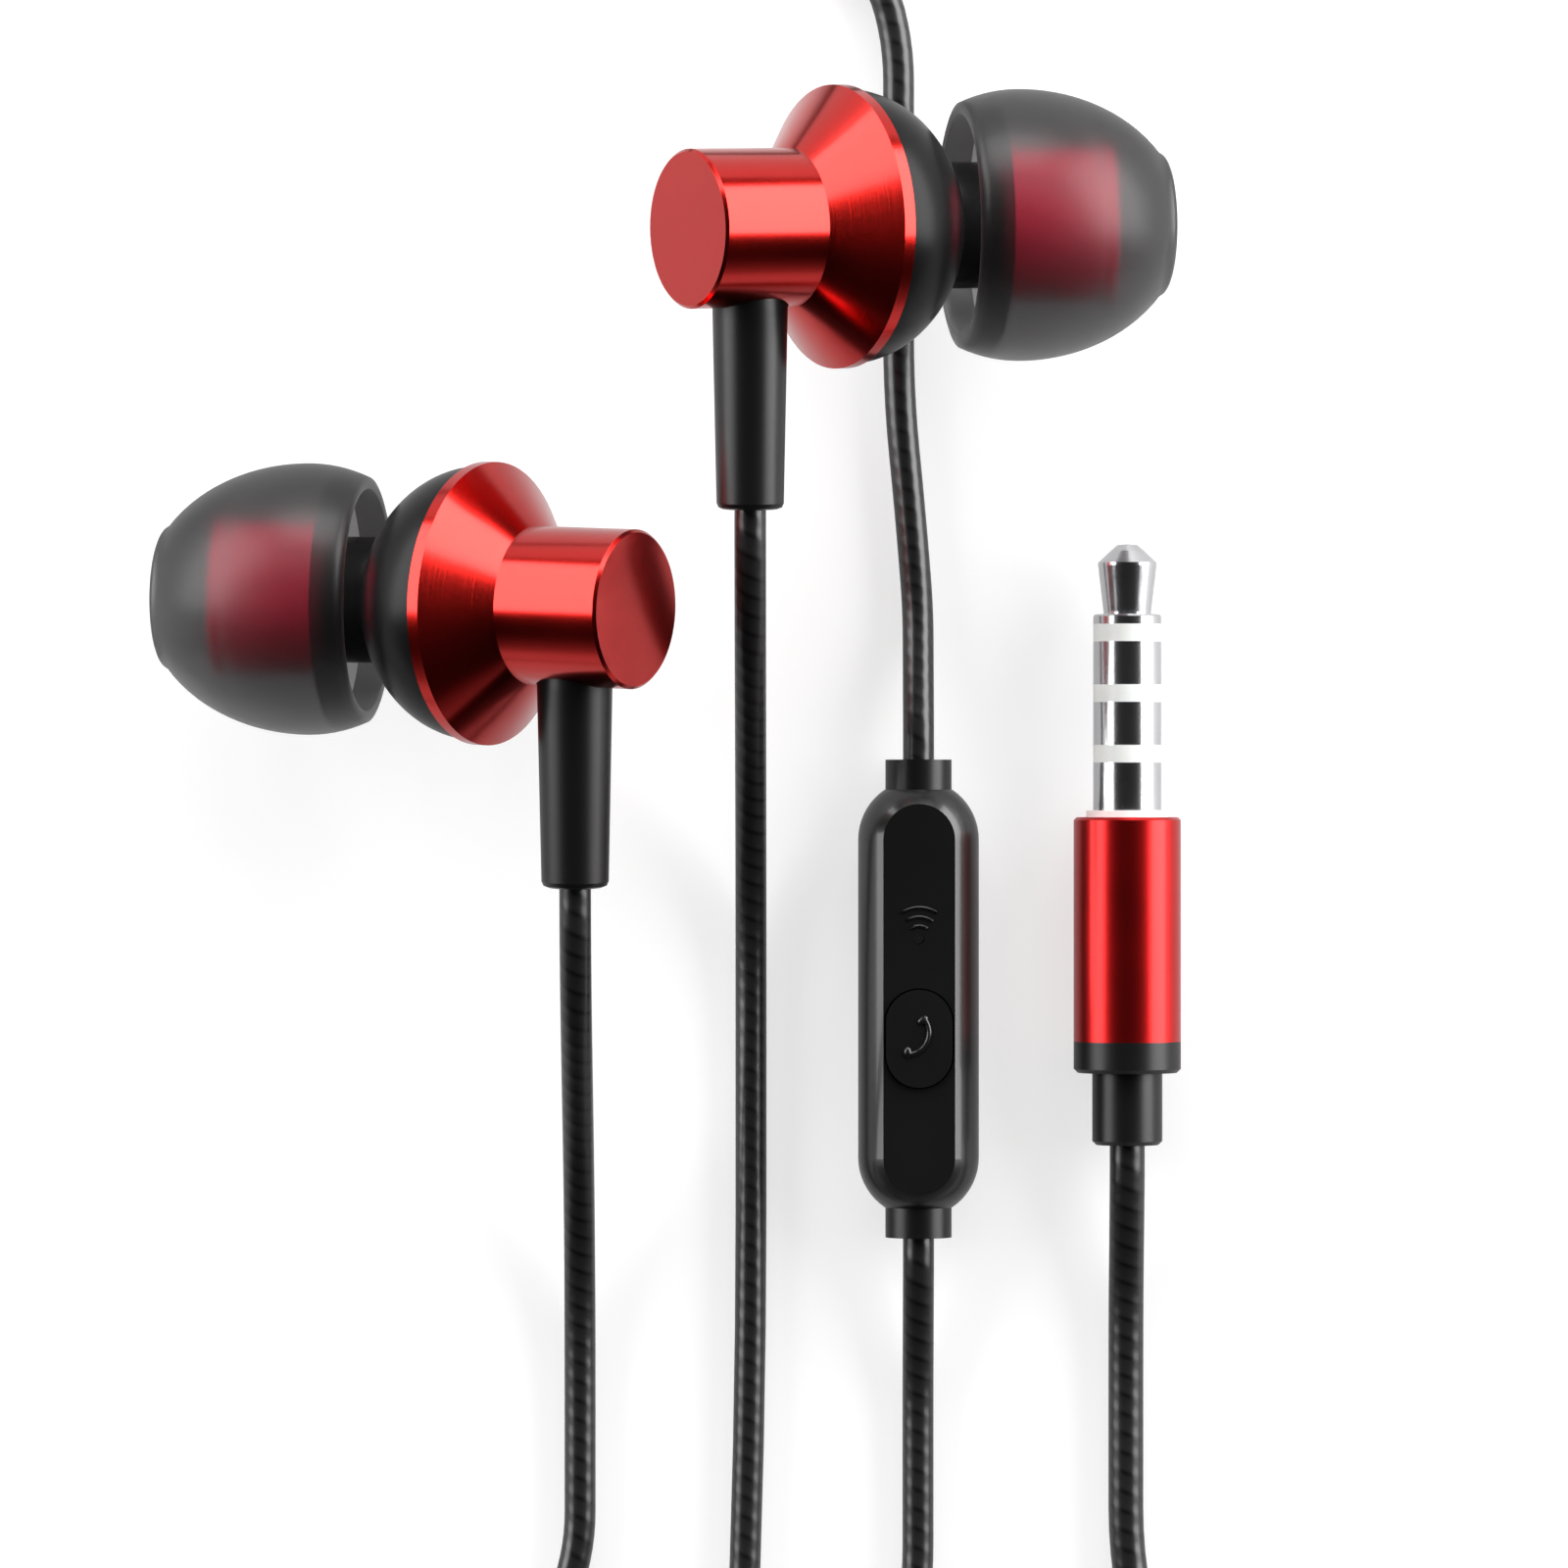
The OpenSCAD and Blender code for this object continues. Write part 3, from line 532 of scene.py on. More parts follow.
@dataclass
class Studio:
    """The table, the lamps and the camera that looks straight down.

    The view's place, width and heights are in millimetres. Mirrored is the share of the
    table's glow that metal and silicone see.
    """

    view_middle: tuple[float, float] = (6.1, -15.0)
    view_width: float = 80.0
    sharp_height: float = 5.0
    eye_height: float = 455.0
    sensor: float = 36.0
    table_glow: float = 0.64
    mirrored: float = 0.4
    table_white: float = 0.44
    table_radius: float = 2.5
    table_gap: float = 0.00002
    sky_fade: float = 4.0
    front_glow: float = 0.35
    overhead: float = 0.015
    panels: tuple[Panel, ...] = (
        Panel("right_panel", 22, 0.58, (0.02, 0.44), 8.0),
        Panel("left_panel", 158, 0.58, (0.02, 0.44), 6.0),
        Panel("back_panel", 90, 0.44, (0.10, 0.46), 7.0),
    )

    def set_camera(self) -> None:
        """Hangs the camera over the middle of the view."""
        data = bpy.data.cameras.new("overhead_camera")
        data.sensor_width = self.sensor
        data.lens = self.sensor * (self.eye_height - self.sharp_height) / self.view_width
        data.clip_start, data.clip_end = 0.01, 10.0
        camera = bpy.data.objects.new("overhead_camera", data)
        x, y = self.view_middle
        camera.location = (x * MM, y * MM, self.eye_height * MM)
        bpy.context.scene.collection.objects.link(camera)
        bpy.context.scene.camera = camera

    def lay_table(self) -> None:
        """Lays the white table top that the earphones lie on."""
        Bench.clear_selection()
        bpy.ops.mesh.primitive_circle_add(
            vertices=96,
            radius=self.table_radius,
            fill_type="NGON",
            location=(0, 0, -self.table_gap),
        )
        table = Bench.name_it("table_top")
        material = bpy.data.materials.new("white_table")
        material.use_nodes = True
        shader = Shader(material.node_tree)
        skin = material.node_tree.nodes["Principled BSDF"]
        skin.inputs["Base Color"].default_value = (*[self.table_white] * 3, 1)
        skin.inputs["Roughness"].default_value = 0.7
        skin.inputs["Specular IOR Level"].default_value = 0.2
        skin.inputs["Emission Color"].default_value = (1, 1, 1, 1)
        rays = shader.add("ShaderNodeLightPath").outputs
        bounced = shader.math("MAXIMUM", rays["Is Glossy Ray"], rays["Is Transmission Ray"])
        mirrored = shader.math("MULTIPLY", bounced, self.mirrored)
        shown = shader.math("MAXIMUM", rays["Is Camera Ray"], mirrored)
        glow = shader.math("MULTIPLY", shown, self.table_glow)
        shader.link(glow, skin.inputs["Emission Strength"])
        table.data.materials.append(material)

    def set_lamps(self) -> None:
        """Sets the panels, and a sky that is dark overhead and glows low in the front."""
        for panel in self.panels:
            panel.build()
        world = bpy.data.worlds.new("soft_sky")
        bpy.context.scene.world = world
        world.use_nodes = True
        shader = Shader(world.node_tree)
        sky = world.node_tree.nodes["Background"]
        split = shader.add("ShaderNodeSeparateXYZ")
        shader.link(shader.add("ShaderNodeTexCoord").outputs["Generated"], split.inputs[0])
        height = shader.math("MULTIPLY", split.outputs["Z"], self.sky_fade)
        low = shader.math("SUBTRACT", 1.0, height)
        front = shader.math("MULTIPLY", split.outputs["Y"], -1.0)
        glow = shader.math(
            "MULTIPLY", shader.math("MAXIMUM", low, 0.0), shader.math("MAXIMUM", front, 0.0)
        )
        dim = shader.math("ADD", shader.math("MULTIPLY", glow, self.front_glow), self.overhead)
        seen = shader.add("ShaderNodeLightPath").outputs["Is Camera Ray"]
        shader.link(shader.math("MAXIMUM", dim, seen), sky.inputs["Strength"])
        sky.inputs["Color"].default_value = (1, 1, 1, 1)


# Dressing


def steps(start: float, end: float, count: int) -> list[float]:
    """Evenly spaced numbers from start to end, both included."""
    return [start + (end - start) * i / (count - 1) for i in range(count)]


def dress(node: str, material: bpy.types.Material) -> None:
    """Gives a CAD node one material in all its slots."""
    piece = FRAME["nodes"][node]
    if not piece.material_slots:
        piece.data.materials.append(material)
    for slot in piece.material_slots:
        slot.material = material


def dress_all(kit: Kit, finishes: dict[str, tuple[str, ...]], ending: str = "") -> None:
    """Gives CAD nodes their finishes.

    Args:
        kit: The materials by the names of their finishes.
        finishes: The name of each finish, with the nodes that have it.
        ending: What follows each node's name, such as its side.
    """
    for finish, nodes in finishes.items():
        for node in nodes:
            dress(node + ending, kit[finish])


def see_through(finish: Finish, effects: Effects) -> bpy.types.Material:
    """Builds a see-through finish that lets the lamps' light pass to what is inside."""
    material = finish.build(effects)
    shader = Shader(material.node_tree)
    skin = material.node_tree.nodes["Principled BSDF"]
    end = material.node_tree.nodes["Material Output"]
    clear = shader.add("ShaderNodeBsdfTransparent")
    clear.inputs["Color"].default_value = (0.95, 0.95, 0.95, 1)
    mix = shader.add("ShaderNodeMixShader")
    shader.link(shader.add("ShaderNodeLightPath").outputs["Is Shadow Ray"], mix.inputs[0])
    shader.link(skin.outputs[0], mix.inputs[1])
    shader.link(clear.outputs[0], mix.inputs[2])
    shader.link(mix.outputs[0], end.inputs["Surface"])
    return material


# Cords


@dataclass
class Route:
    """A line through points in millimetres, with its corners rounded in samples steps."""

    points: list[Point]
    samples: int = 5

    def line(self) -> list[Vector]:
        """The rounded line in metres, from the first point to the last."""
        marks = [Vector(p) * MM for p in self.points]
        out = [marks[0]]
        for before, corner, after in zip(marks, marks[1:], marks[2:]):
            reach = min((corner - before).length, (after - corner).length) / 2
            start = corner + (before - corner).normalized() * reach
            end = corner + (after - corner).normalized() * reach
            for step in range(self.samples + 1):
                t = step / self.samples
                spot = start.lerp(corner, t).lerp(corner.lerp(end, t), t)
                if (spot - out[-1]).length > 0.0002:
                    out.append(spot)
        if (marks[-1] - out[-1]).length < 0.0002:
            out.pop()
        out.append(marks[-1])
        return out


@dataclass
class Coil:
    """Spare cord in two layers: inwards on the table, then outwards on top.

    Lengths are in millimetres, turns are those of one layer, start is the angle in
    degrees at which the cord comes in, and steps are the points in a turn.
    """

    middle: Point
    least_radius: float
    turns: float
    pitch: float
    start: float
    steps: int = 24

    def points(self) -> list[Point]:
        """The coil's points in millimetres."""
        each_way, half = round(self.turns * self.steps), self.steps // 2
        x, y, z = self.middle
        out: list[Point] = []
        for step in range(2 * each_way + half + 1):
            angle = math.radians(self.start + 360 * step / self.steps)
            climbed = min(max((step - each_way) / half, 0), 1)
            off = abs(step - each_way - half / 2) - half / 2
            radius = self.least_radius + self.pitch * off / self.steps
            lift = self.pitch * (1 - math.cos(math.pi * climbed)) / 2
            out.append((x + radius * math.cos(angle), y + radius * math.sin(angle), z + lift))
        return out


@dataclass
class Cord:
    """One free stretch of cord as a round tube with a UV map along it.

    The diameter is in millimetres. Far end is what hangs on it and pieces on it are that
    thing's nodes; neither is used. Sides are the points round the tube.
    """

    name: str
    route: Route
    diameter: float
    stands_for: tuple[str, ...]
    far_end: str
    pieces_on_it: tuple[str, ...] = ()
    lay: str = "loose"
    sides: int = 20

    def build(self, material: bpy.types.Material) -> bpy.types.Object:
        line = self.route.line()
        piece = self._tube(line)
        piece.data.materials.append(material)
        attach(piece, "earphones")
        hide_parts(*self.stands_for)
        return piece

    def _tube(self, line: list[Vector]) -> bpy.types.Object:
        """Sweeps a circle along the line without letting it twist."""
        count, last = self.sides, len(line) - 1
        across = Vector((1, 0, 0)).cross(line[1] - line[0]).normalized()
        if across.length < 0.5:
            across = Vector((0, 0, 1))
        points: list[Vector] = []
        walked = [0.0]
        for at, spot in enumerate(line):
            ahead = (line[min(at + 1, last)] - line[max(at - 1, 0)]).normalized()
            across = (across - ahead * across.dot(ahead)).normalized()
            up = ahead.cross(across)
            if at:
                walked.append(walked[-1] + (spot - line[at - 1]).length)
            for side in range(count):
                turn = math.tau * side / count
                reach = across * math.cos(turn) + up * math.sin(turn)
                points.append(spot + reach * self.diameter * MM / 2)
        faces, uvs = [], []
        for at in range(last):
            for side in range(count):
                a, b = at * count + side, at * count + (side + 1) % count
                faces.append((a, b, b + count, a + count))
                left, right = side / count, (side + 1) / count
                low, high = walked[at], walked[at + 1]
                uvs += [(left, low), (right, low), (right, high), (left, high)]
        faces.append(tuple(reversed(range(count))))
        faces.append(tuple(last * count + side for side in range(count)))
        uvs += [(0.0, 0.0)] * count + [(0.0, walked[-1])] * count
        mesh = bpy.data.meshes.new(self.name)
        mesh.from_pydata(points, [], faces)
        layer = mesh.uv_layers.new(name="along")
        for loop, uv in zip(layer.data, uvs):
            loop.uv = uv
        piece = bpy.data.objects.new(self.name, mesh)
        bpy.context.scene.collection.objects.link(piece)
        Bench.smooth(piece, 50)
        return piece


@dataclass
class Tie:
    """A soft strap round one place of a coil, snug on its turns.

    The angle says where on the coil, in degrees. Lengths are in millimetres: corner is
    the radius at which the strap turns over the cord, and slack its gap to it.
    """

    name: str
    coil: Coil
    cord: float
    angle: float
    width: float = 4.0
    thick: float = 0.35
    slack: float = 0.08
    corner: float = 1.0
    low: float = 0.02

    def section(self) -> tuple[float, float, float]:
        """The least and the greatest radius and the height that the strap goes round."""
        x, y, _ = self.coil.middle
        half = math.degrees(self.width / 2 / self.coil.least_radius)
        inside, outside, top = math.inf, 0.0, 0.0
        for spot in self.coil.points():
            angle = math.degrees(math.atan2(spot[1] - y, spot[0] - x))
            if abs((angle - self.angle + 180) % 360 - 180) > half:
                continue
            radius = math.hypot(spot[0] - x, spot[1] - y)
            inside, outside = min(inside, radius), max(outside, radius)
            top = max(top, spot[2])
        reach = self.cord / 2 + self.slack
        return inside - reach, outside + reach, top + reach

    def build(self, material: bpy.types.Material) -> None:
        """Makes the strap from a plane: corners rounded, face out, edges drawn, thickened."""
        inside, outside, top = self.section()
        Bench.clear_selection()
        bpy.ops.mesh.primitive_plane_add(size=1, location=(0, 0, 0))
        strap = Bench.name_it(self.name)
        middle = ((inside + outside) / 2, (self.low + top) / 2, -self.width / 2)
        size = (outside - inside, top - self.low, 1)
        strap.data.transform(
            Matrix.Translation(Vector(middle) * MM) @ Matrix.Diagonal((*(s * MM for s in size), 1))
        )
        bpy.ops.object.mode_set(mode="EDIT")
        bpy.ops.mesh.select_all(action="SELECT")
        bpy.ops.mesh.bevel(offset=self.corner * MM, segments=6, affect="VERTICES")
        bpy.ops.mesh.select_all(action="SELECT")
        bpy.ops.mesh.delete(type="ONLY_FACE")
        bpy.ops.mesh.select_all(action="SELECT")
        bpy.ops.mesh.extrude_edges_move(
            TRANSFORM_OT_translate={"value": (0, 0, self.width * MM)}
        )
        bpy.ops.mesh.select_all(action="SELECT")
        bpy.ops.mesh.normals_make_consistent(inside=False)
        bpy.ops.object.mode_set(mode="OBJECT")
        solid = strap.modifiers.new("thickness", "SOLIDIFY")
        solid.thickness, solid.offset = self.thick * MM, 1.0
        bpy.ops.object.modifier_apply(modifier=solid.name)
        for vertex in strap.data.vertices:
            vertex.co.y = max(vertex.co.y, 0.0)
        x, y, _ = self.coil.middle
        Bench.place(
            strap,
            Matrix.Translation(Vector((x, y, 0)) * MM)
            @ Matrix.Rotation(math.radians(self.angle), 4, "Z")
            @ Matrix.Rotation(math.radians(90), 4, "X"),
        )
        Bench.smooth(strap, 40)
        strap.data.materials.append(material)
        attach(strap, "earphones")
        LOG.info("%s: round %.1f by %.1f mm", self.name, outside - inside, top - self.low)


@dataclass
class CordSet:
    """The cords between the earpieces, the remote and the plug.

    Branch and main are the two cords' thicknesses, and lift is their height over the
    table, in millimetres. The strands are counted in turns to the metre.
    """

    branch: float = 1.6
    main: float = 1.8
    lift: float = 0.02
    strand_turns: float = 1000.0
    strands: float = 2.0
    strand_relief: float = 0.000012
    remote_nodes: tuple[str, ...] = (
        "remote_top_case", "remote_base_case", "call_button", "switch_dome", "switch_body",
        "remote_board", "mic_capsule", "mic_gasket", "remote_upper_collar", "remote_lower_collar",
    )
    plug_nodes: tuple[str, ...] = (
        "jack_tip", "jack_first_ring", "jack_second_ring", "jack_sleeve", "jack_insulators",
        "shoulder_ring", "plug_core", "plug_barrel", "plug_tail",
    )

    def jacket(self, effects: Effects) -> bpy.types.Material:
        """The glossy dark jacket with the twisted strands showing through."""
        material = bpy.data.materials.new("cord_jacket")
        material.use_nodes = True
        shader = Shader(material.node_tree)
        skin = material.node_tree.nodes["Principled BSDF"]
        skin.inputs["Coat Weight"].default_value = 0.2
        skin.inputs["Coat Roughness"].default_value = 0.25
        where = shader.add("ShaderNodeTexCoord")
        strands = shader.add("ShaderNodeGroup", node_tree=effects.twist)
        shader.link(where.outputs["UV"], strands.inputs["UV"])
        strands.inputs["Turns per Metre"].default_value = self.strand_turns
        strands.inputs["Strands"].default_value = self.strands
        touch = shader.add("ShaderNodeGroup", node_tree=effects.handling)
        shader.link(where.outputs["Object"], touch.inputs["Vector"])
        touch.inputs["Low"].default_value, touch.inputs["High"].default_value = 0.26, 0.36
        shader.link(touch.outputs["Roughness"], skin.inputs["Roughness"])
        blend = shader.add("ShaderNodeMix", data_type="RGBA")
        blend.inputs["A"].default_value = (0.012, 0.012, 0.013, 1)
        blend.inputs["B"].default_value = (0.002, 0.002, 0.002, 1)
        shader.link(strands.outputs["Gap"], blend.inputs["Factor"])
        shader.link(blend.outputs["Result"], skin.inputs["Base Color"])
        bump = shader.add("ShaderNodeBump")
        bump.inputs["Distance"].default_value = self.strand_relief
        shader.link(strands.outputs["Ridge"], bump.inputs["Height"])
        shader.link(bump.outputs["Normal"], skin.inputs["Normal"])
        return material

    def rests(self) -> tuple[float, float]:
        """The heights in millimetres at which the two cords' middles lie on the table."""
        return self.branch / 2 + self.lift, self.main / 2 + self.lift

    def coils(self) -> tuple[Coil, Coil]:
        """The small coil in the right cord and the large one in the cord to the plug."""
        low, high = self.rests()
        return (
            Coil((14.02, -74.4, low), 5.2, 2.125, 2.08, 180),
            Coil((-20, -81.8, high), 6, 5, 2.28, 90),
        )

    def cords(self) -> list[Cord]:
        """The four cords, each with its route in millimetres."""
        low, high = self.rests()
        right_coil, main_coil = self.coils()
        left_upper = Route([
            (-4.4, -20.172, 11.657), (-4.4, -22.164, 11.483), (-4.4, -26, 10), (-4.4, -30, 7.2),
            (-4.4, -34, 4.3), (-4.4, -38, 2.2), (-4.4, -42, 1.1), (-4.4, -46, low),
            (-4.4, -54, low), (-5.2, -57, low), (-7.4, -59.2, low), (-10.4, -60, low),
            (-31, -60, low), (-34.5, -59.1, low), (-37.1, -56.5, low), (-38, -53, low),
            (-38, 23, low), (-37.1, 26.5, low), (-34.5, 29.1, low), (-31, 30, low),
            (5, 30, low), (8.5, 29.1, low), (11.1, 26.5, low), (12, 23, low), (12, 5, low),
            (12.6, -1, low), (13, -6, 0.9), (13, -9, 1.7), (13, -12.25, 2.5), (13, -13.75, 2.5),
        ])
        left_lower = Route([
            (13, -38.25, 2.5), (13, -39.75, 2.5), (13, -43, 1.6), (13, -46, 0.9), (13, -49, low),
            (13, -56, low), (12.4, -59.5, 1.1), (10.6, -61.7, 1.8), (7.6, -62.3, 2.6),
            (4.4, -62.3, 2.9), (1.5, -62.3, 2.2), (-0.5, -62.3, 1.5), (-1.5, -62.3, 1.5),
        ])
        right = Route([
            (4.4, -1.172, 11.657), (4.4, -3.164, 11.483), (4.4, -7, 10), (4.4, -11, 7.2),
            (4.4, -15, 4.3), (4.4, -19, 2.2), (4.4, -23, 1.1), (4.4, -27, low), (4.4, -46, low),
            (3.8, -64, low), (3.808, -70.849, low), *right_coil.points(),
            (10.469, -64.188, 2.9), (4.4, -64.7, 2.9), (1.5, -64.7, 2.2), (-0.5, -64.7, 1.5),
            (-1.5, -64.7, 1.5),
        ], samples=3)
        main = Route([
            (-9.5, -63.5, 1.5), (-10.5, -63.5, 1.5), (-16.244, -63.826, high),
            *main_coil.points(), (-16.244, -99.774, 3.2), (-11, -99.4, 2), (-7, -99.2, 1),
            (18.8, -99.2, high), (22.9, -98.1, high), (25.9, -95.1, high), (27, -91, high),
            (27, -67, high), (26.6, -63.5, high), (24.2, -57.5, high), (23.7, -54, high),
            (23.7, -45, high), (23.7, -41, 1.2), (23.7, -38, 2.1), (23.7, -35, 2.75),
            (23.7, -33.5, 2.75),
        ], samples=3)
        return [
            Cord("left_cord_to_remote", left_upper, self.branch, ("cord_left_upper",),
                 "fitting", self.remote_nodes),
            Cord("remote_cord_to_joint", left_lower, self.branch, ("cord_left_lower",),
                 "fitting", ("y_joint",)),
            Cord("right_cord", right, self.branch, ("cord_right", "coil_right"),
                 "fitting", ("y_joint",), lay="coiled"),
            Cord("plug_cord", main, self.main, ("cord_main", "coil_main"),
                 "plug", self.plug_nodes, lay="coiled"),
        ]

    def build(self, effects: Effects, kit: Kit) -> None:
        """Makes the four cords and the straps that hold their coils."""
        jacket = self.jacket(effects)
        for cord in self.cords():
            cord.build(jacket)
        small, large = self.coils()
        for tie in (
            Tie("small_coil_strap", small, self.branch, -60, width=3.0),
            Tie("large_coil_strap_front", large, self.main, 0),
            Tie("large_coil_strap_back", large, self.main, 180),
        ):
            tie.build(kit["strap_black"])


# Earpieces


@dataclass
class Earpiece:
    """One earpiece, in millimetres and degrees.

    Its own frame has the shell's axis along X and the strain relief along -Y. The places
    from tip_back to core_front are measured along the nozzle from the front's flat end.
    """

    side: Side
    middle: tuple[float, float] = (4.4, 12.8744)
    height: float = 12.8858
    dip: float = 5.0
    pitch: float = 30.0
    nozzle_angle: float = 20.0
    dome_front: float = 10.25
    tip_radius: float = 6.9
    tip_back: float = 1.7
    tip_widest: float = 4.8
    tip_front: float = 12.4
    shoulder: float = 0.4
    mouth: float = 2.45
    core: float = 3.2
    core_back: float = 3.55
    core_front: float = 9.0
    skirt_wall: float = 0.6
    smoky_back: float = 3.55

    def frame(self) -> Matrix:
        """The earpiece's place on the table."""
        x, y = self.middle
        way = Matrix.Diagonal((self.side.value, 1, 1, 1))
        return (
            Matrix.Translation(Vector((x * self.side.value, y, self.height)) * MM)
            @ way
            @ Matrix.Rotation(math.radians(self.dip), 4, "X")
            @ Matrix.Rotation(math.radians(self.pitch), 4, "Y")
        )

    def turning_frame(self) -> Matrix:
        """A frame without mirroring whose X axis is the shell's axis."""
        place = self.frame()
        axis = (place.to_3x3() @ Vector((1, 0, 0))).normalized()
        turn = Vector((1, 0, 0)).rotation_difference(axis).to_matrix().to_4x4()
        return Matrix.Translation(place.to_translation()) @ turn

    def nozzle_frame(self) -> Matrix:
        """The nozzle's place, with its axis along Z."""
        return (
            self.frame()
            @ Matrix.Translation((self.dome_front * MM, 0, 0))
            @ Matrix.Rotation(math.radians(90 - self.nozzle_angle), 4, "Y")
        )

    def skirt_radius(self, place: float) -> float:
        """The skirt's outer radius at a place along the nozzle, in millimetres."""
        axis = 7.0 if place < self.tip_widest else 8.5
        return self.tip_radius * math.sqrt(1 - ((place - self.tip_widest) / axis) ** 2)

    def skirt_outline(self) -> Outline:
        """The section of the silicone skirt: outer face, mouth, bore, web and inner face."""
        back, front = self.tip_back, self.tip_front - self.shoulder
        outer = [(self.skirt_radius(t), t) for t in steps(back + 0.12, front, 26)]
        end = self.skirt_radius(front)
        deep = (end - self.mouth) * 0.6
        nose = [
            (end - deep * (1 - math.cos(a)), self.tip_front - self.shoulder * (1 - math.sin(a)))
            for a in steps(math.radians(15), math.radians(90), 6)
        ]
        bore = [(self.mouth + 0.10, self.tip_front - 0.03), (self.mouth, self.tip_front - 0.15),
                (self.mouth, self.core_front + 0.02), (self.core + 0.02, self.core_front + 0.02),
                (self.core + 0.02, self.core_front - 0.5)]
        web = self.core_front - 0.5
        inner = [
            ((self.skirt_radius(t) - self.skirt_wall)
             * (1 - 0.35 * ((t - back) / (web - back)) ** 6), t)
            for t in steps(web - 0.25, back, 20)
        ]
        inner[-1] = (inner[-1][0] + 0.05, back + 0.08)
        lip = (self.skirt_radius(back) - self.skirt_wall / 2, back)
        return [*outer, *nose, *bore, *inner, lip]

    def core_outline(self) -> Outline:
        """The section of the red sleeve that grips the nozzle, with its edges rounded."""
        back, front, edge = self.core_back, self.core_front, 0.15
        turn = [math.radians(a) for a in (0, 30, 60, 90)]
        front_edge = [(self.core - edge + edge * math.cos(a), front - edge + edge * math.sin(a))
                      for a in turn]
        back_edge = [(self.core - edge + edge * math.sin(a), back + edge - edge * math.cos(a))
                     for a in turn]
        return [(self.mouth, back), *back_edge, *front_edge, (self.mouth, front)]

    def is_smoky(self, spot: Vector) -> bool:
        """Whether a spot on the skirt, in millimetres in the nozzle's frame, is tinted.

        The whole outer face is, and the inner face next to the back edge.
        """
        radius = math.hypot(spot.x, spot.y)
        if spot.z < self.smoky_back:
            return True
        if spot.z > self.tip_front - self.shoulder:
            return radius > self.mouth + 0.2
        return radius > self.skirt_radius(spot.z) - self.skirt_wall / 4

    def build(self, effects: Effects, kit: Kit) -> None:
        """Makes the silicone core and skirt and dresses the earpiece's other pieces."""
        word = self.side.word
        core = Bench.turn_up(f"silicone_core_{word}", self.core_outline(), 96)
        Bench.place(core, self.nozzle_frame())
        Bench.smooth(core, 60)
        core.data.materials.append(kit["red_silicone"])
        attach(core, f"ear_tip_{word}")
        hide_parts(f"tip_core_{word}")
        skirt = Bench.turn_up(f"silicone_skirt_{word}", self.skirt_outline(), 128)
        skirt.data.materials.append(kit["smoke_silicone"])
        skirt.data.materials.append(kit["clear_silicone"])
        for face in skirt.data.polygons:
            face.material_index = 0 if self.is_smoky(face.center / MM) else 1
        Bench.place(skirt, self.nozzle_frame())
        Bench.smooth(skirt, 60)
        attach(skirt, f"ear_tip_{word}")
        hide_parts(f"tip_skirt_{word}")
        shell = RED_ANODISED.build(effects, self.turning_frame())
        dress(f"rear_shell_{word}", shell)
        dress_all(
            kit,
            {
                "gloss_black_shell": ("front_shell",),
                "soft_black_rubber": ("strain_relief",),
                "satin_steel": ("nozzle_mesh", "yoke", "top_plate"),
                "polished_nickel": ("magnet",),
                "bare_copper": ("lead_wires", "voice_coil"),
                "board_green": ("solder_board",),
                "inner_black": ("driver_frame", "cord_knot"),
                "cone_film": ("diaphragm",),
            },
            f"_{word}",
        )
        LOG.info("%s earpiece dressed", word)


# Remote and plug


@dataclass(frozen=True)
class Ridge:
    """A thin ridge along an arc, half sunk in the face that it lies on."""

    middle: Point
    radius: float
    angles: tuple[float, float]
    thick: float = 0.085

    def build(self, name: str) -> bpy.types.Object:
        """Makes the ridge from a ring that is cut at both ends of the arc and capped."""
        Bench.clear_selection()
        bpy.ops.mesh.primitive_torus_add(
            major_radius=self.radius * MM, minor_radius=self.thick * MM, major_segments=96,
            minor_segments=16, location=(0, 0, 0),
        )
        piece = Bench.name_it(name)
        low, high = (math.radians(angle) for angle in self.angles)
        bpy.ops.object.mode_set(mode="EDIT")
        cuts = ((math.sin(low), -math.cos(low)), (-math.sin(high), math.cos(high)))
        for x, y in cuts:
            bpy.ops.mesh.select_all(action="SELECT")
            bpy.ops.mesh.bisect(
                plane_co=(0, 0, 0), plane_no=(x, y, 0), use_fill=True, clear_outer=True
            )
        bpy.ops.object.mode_set(mode="OBJECT")
        piece.data.transform(Matrix.Translation(Vector(self.middle) * MM))
        return piece


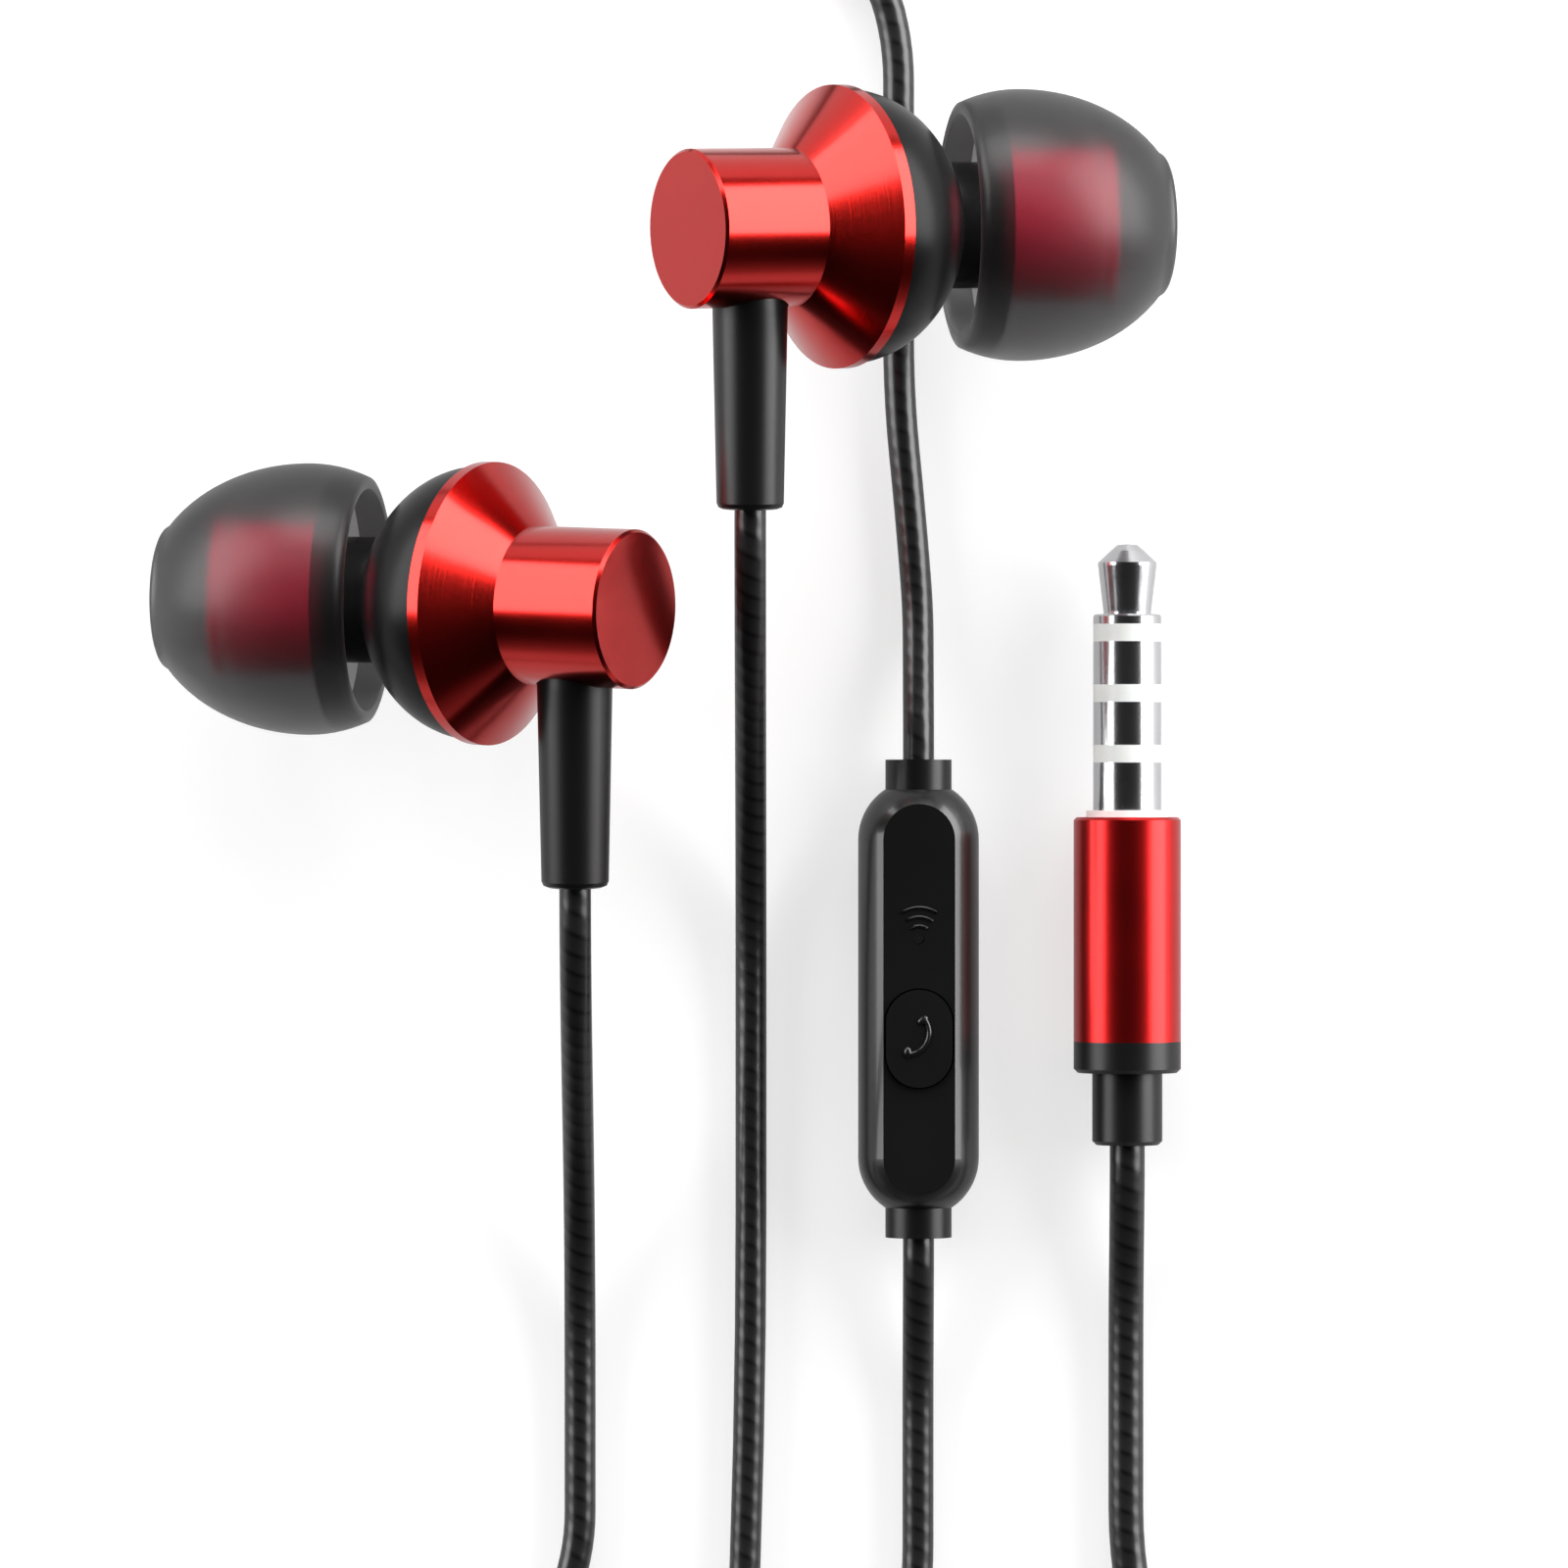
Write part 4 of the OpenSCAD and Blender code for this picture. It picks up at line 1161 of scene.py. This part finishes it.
@dataclass
class Remote:
    """The in-line remote, which lies along Y.

    Lengths are in millimetres and angles in degrees. Dome kept is the share of the switch
    dome's height that is left when the button is all the way in; it is not used.
    """

    case_top: float = 5.0
    button_top: float = 5.2
    button_middle: tuple[float, float] = (13.0, -28.0)
    microphone: tuple[float, float] = (13.0, -22.9)
    wave_radii: tuple[float, ...] = (0.66, 1.12, 1.60)
    wave_angles: tuple[float, float] = (57.0, 121.0)
    dome_kept: float = 0.45

    def waves(self) -> bpy.types.Object:
        """The sound waves in relief above the microphone's hole."""
        middle = (*self.microphone, self.case_top)
        arcs = [
            Ridge(middle, radius, self.wave_angles).build(f"wave_{at}")
            for at, radius in enumerate(self.wave_radii)
        ]
        return Bench.join("sound_waves", arcs)

    def handset(self) -> bpy.types.Object:
        """The handset in relief on the call button."""
        x, y = self.button_middle
        middle = (x - 0.62, y + 0.32, self.button_top)
        grip = Ridge(middle, 1.12, (-92.0, 42.0), 0.13).build("handset_grip")
        ends = []
        for at, angle in enumerate((-88.0, 38.0)):
            turn = math.radians(angle)
            spot = Vector(middle) + Vector((math.cos(turn), math.sin(turn), 0)) * 1.02
            bpy.ops.mesh.primitive_uv_sphere_add(
                segments=24, ring_count=12, radius=1, location=(0, 0, 0)
            )
            end = Bench.name_it(f"handset_end_{at}")
            end.data.transform(
                Matrix.Translation(spot * MM) @ Matrix.Rotation(turn, 4, "Z")
                @ Matrix.Diagonal((0.30 * MM, 0.20 * MM, 0.15 * MM, 1))
            )
            ends.append(end)
        return Bench.join("handset_sign", [grip, *ends])

    def build(self, kit: Kit) -> None:
        """Dresses the case, the button and what is inside."""
        collars = ("remote_upper_collar", "remote_lower_collar")
        dress_all(
            kit,
            {
                "remote_black": ("remote_top_case", "remote_base_case"),
                "button_black": ("call_button",),
                "soft_black_rubber": (*collars, "mic_gasket"),
                "satin_steel": ("switch_dome",),
                "inner_black": ("switch_body",),
                "board_green": ("remote_board",),
                "polished_nickel": ("mic_capsule",),
            },
        )
        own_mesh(FRAME["nodes"]["switch_dome"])
        for sign, body, finish in (
            (self.waves(), "earphones", "remote_black"),
            (self.handset(), "call_button", "button_black"),
        ):
            Bench.point_outwards(sign)
            Bench.smooth(sign, 50)
            sign.data.materials.append(kit[finish])
            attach(sign, body)
        LOG.info("remote dressed")


@dataclass
class Plug:
    """The plug, which lies along Y with its jack towards +Y."""

    middle: Point = (23.7, -16.0, 2.75)

    def build(self, effects: Effects, kit: Kit) -> None:
        """Dresses the contacts, the insulators, the barrel and the tail."""
        along = Matrix.Translation(Vector(self.middle) * MM) @ Matrix.Rotation(
            math.radians(90), 4, "Z"
        )
        contact = POLISHED_NICKEL.build(effects, along)
        for node in ("jack_tip", "jack_first_ring", "jack_second_ring", "jack_sleeve"):
            dress(node, contact)
        dress("plug_barrel", RED_SATIN.build(effects, along))
        dress_all(
            kit,
            {
                "pale_insulator": ("jack_insulators", "shoulder_ring"),
                "inner_black": ("plug_core",),
                "soft_black_rubber": ("plug_tail",),
            },
        )
        LOG.info("plug dressed")


def main() -> None:
    """Builds the studio, the cords and the three sub-assemblies."""
    FRAME.update(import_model())
    Bench.clear_selection()
    scene = bpy.context.scene
    scene.view_settings.view_transform = "Standard"
    studio = Studio()
    studio.set_camera()
    effects = Effects()
    finishes = (
        POLISHED_NICKEL, GLOSS_BLACK, REMOTE_BLACK, BUTTON_BLACK, SOFT_BLACK, STRAP_BLACK,
        PALE_INSULATOR, RED_SILICONE, SATIN_STEEL, BARE_COPPER, BOARD_GREEN, INNER_BLACK,
        CONE_FILM,
    )
    kit = {finish.name: finish.build(effects) for finish in finishes}
    CordSet().build(effects, kit)
    studio.lay_table()
    studio.set_lamps()
    for finish in (SMOKE_SILICONE, CLEAR_SILICONE):
        kit[finish.name] = see_through(finish, effects)
    Earpiece(Side.RIGHT).build(effects, kit)
    Earpiece(Side.LEFT, middle=(4.4, -6.1256)).build(effects, kit)
    Remote().build(kit)
    Plug().build(effects, kit)
    dress("y_joint", kit["soft_black_rubber"])
    Bench.clear_selection()
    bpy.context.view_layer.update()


if __name__ == "__main__":
    logging.basicConfig(level=logging.INFO, format="%(name)s: %(message)s")
    main()
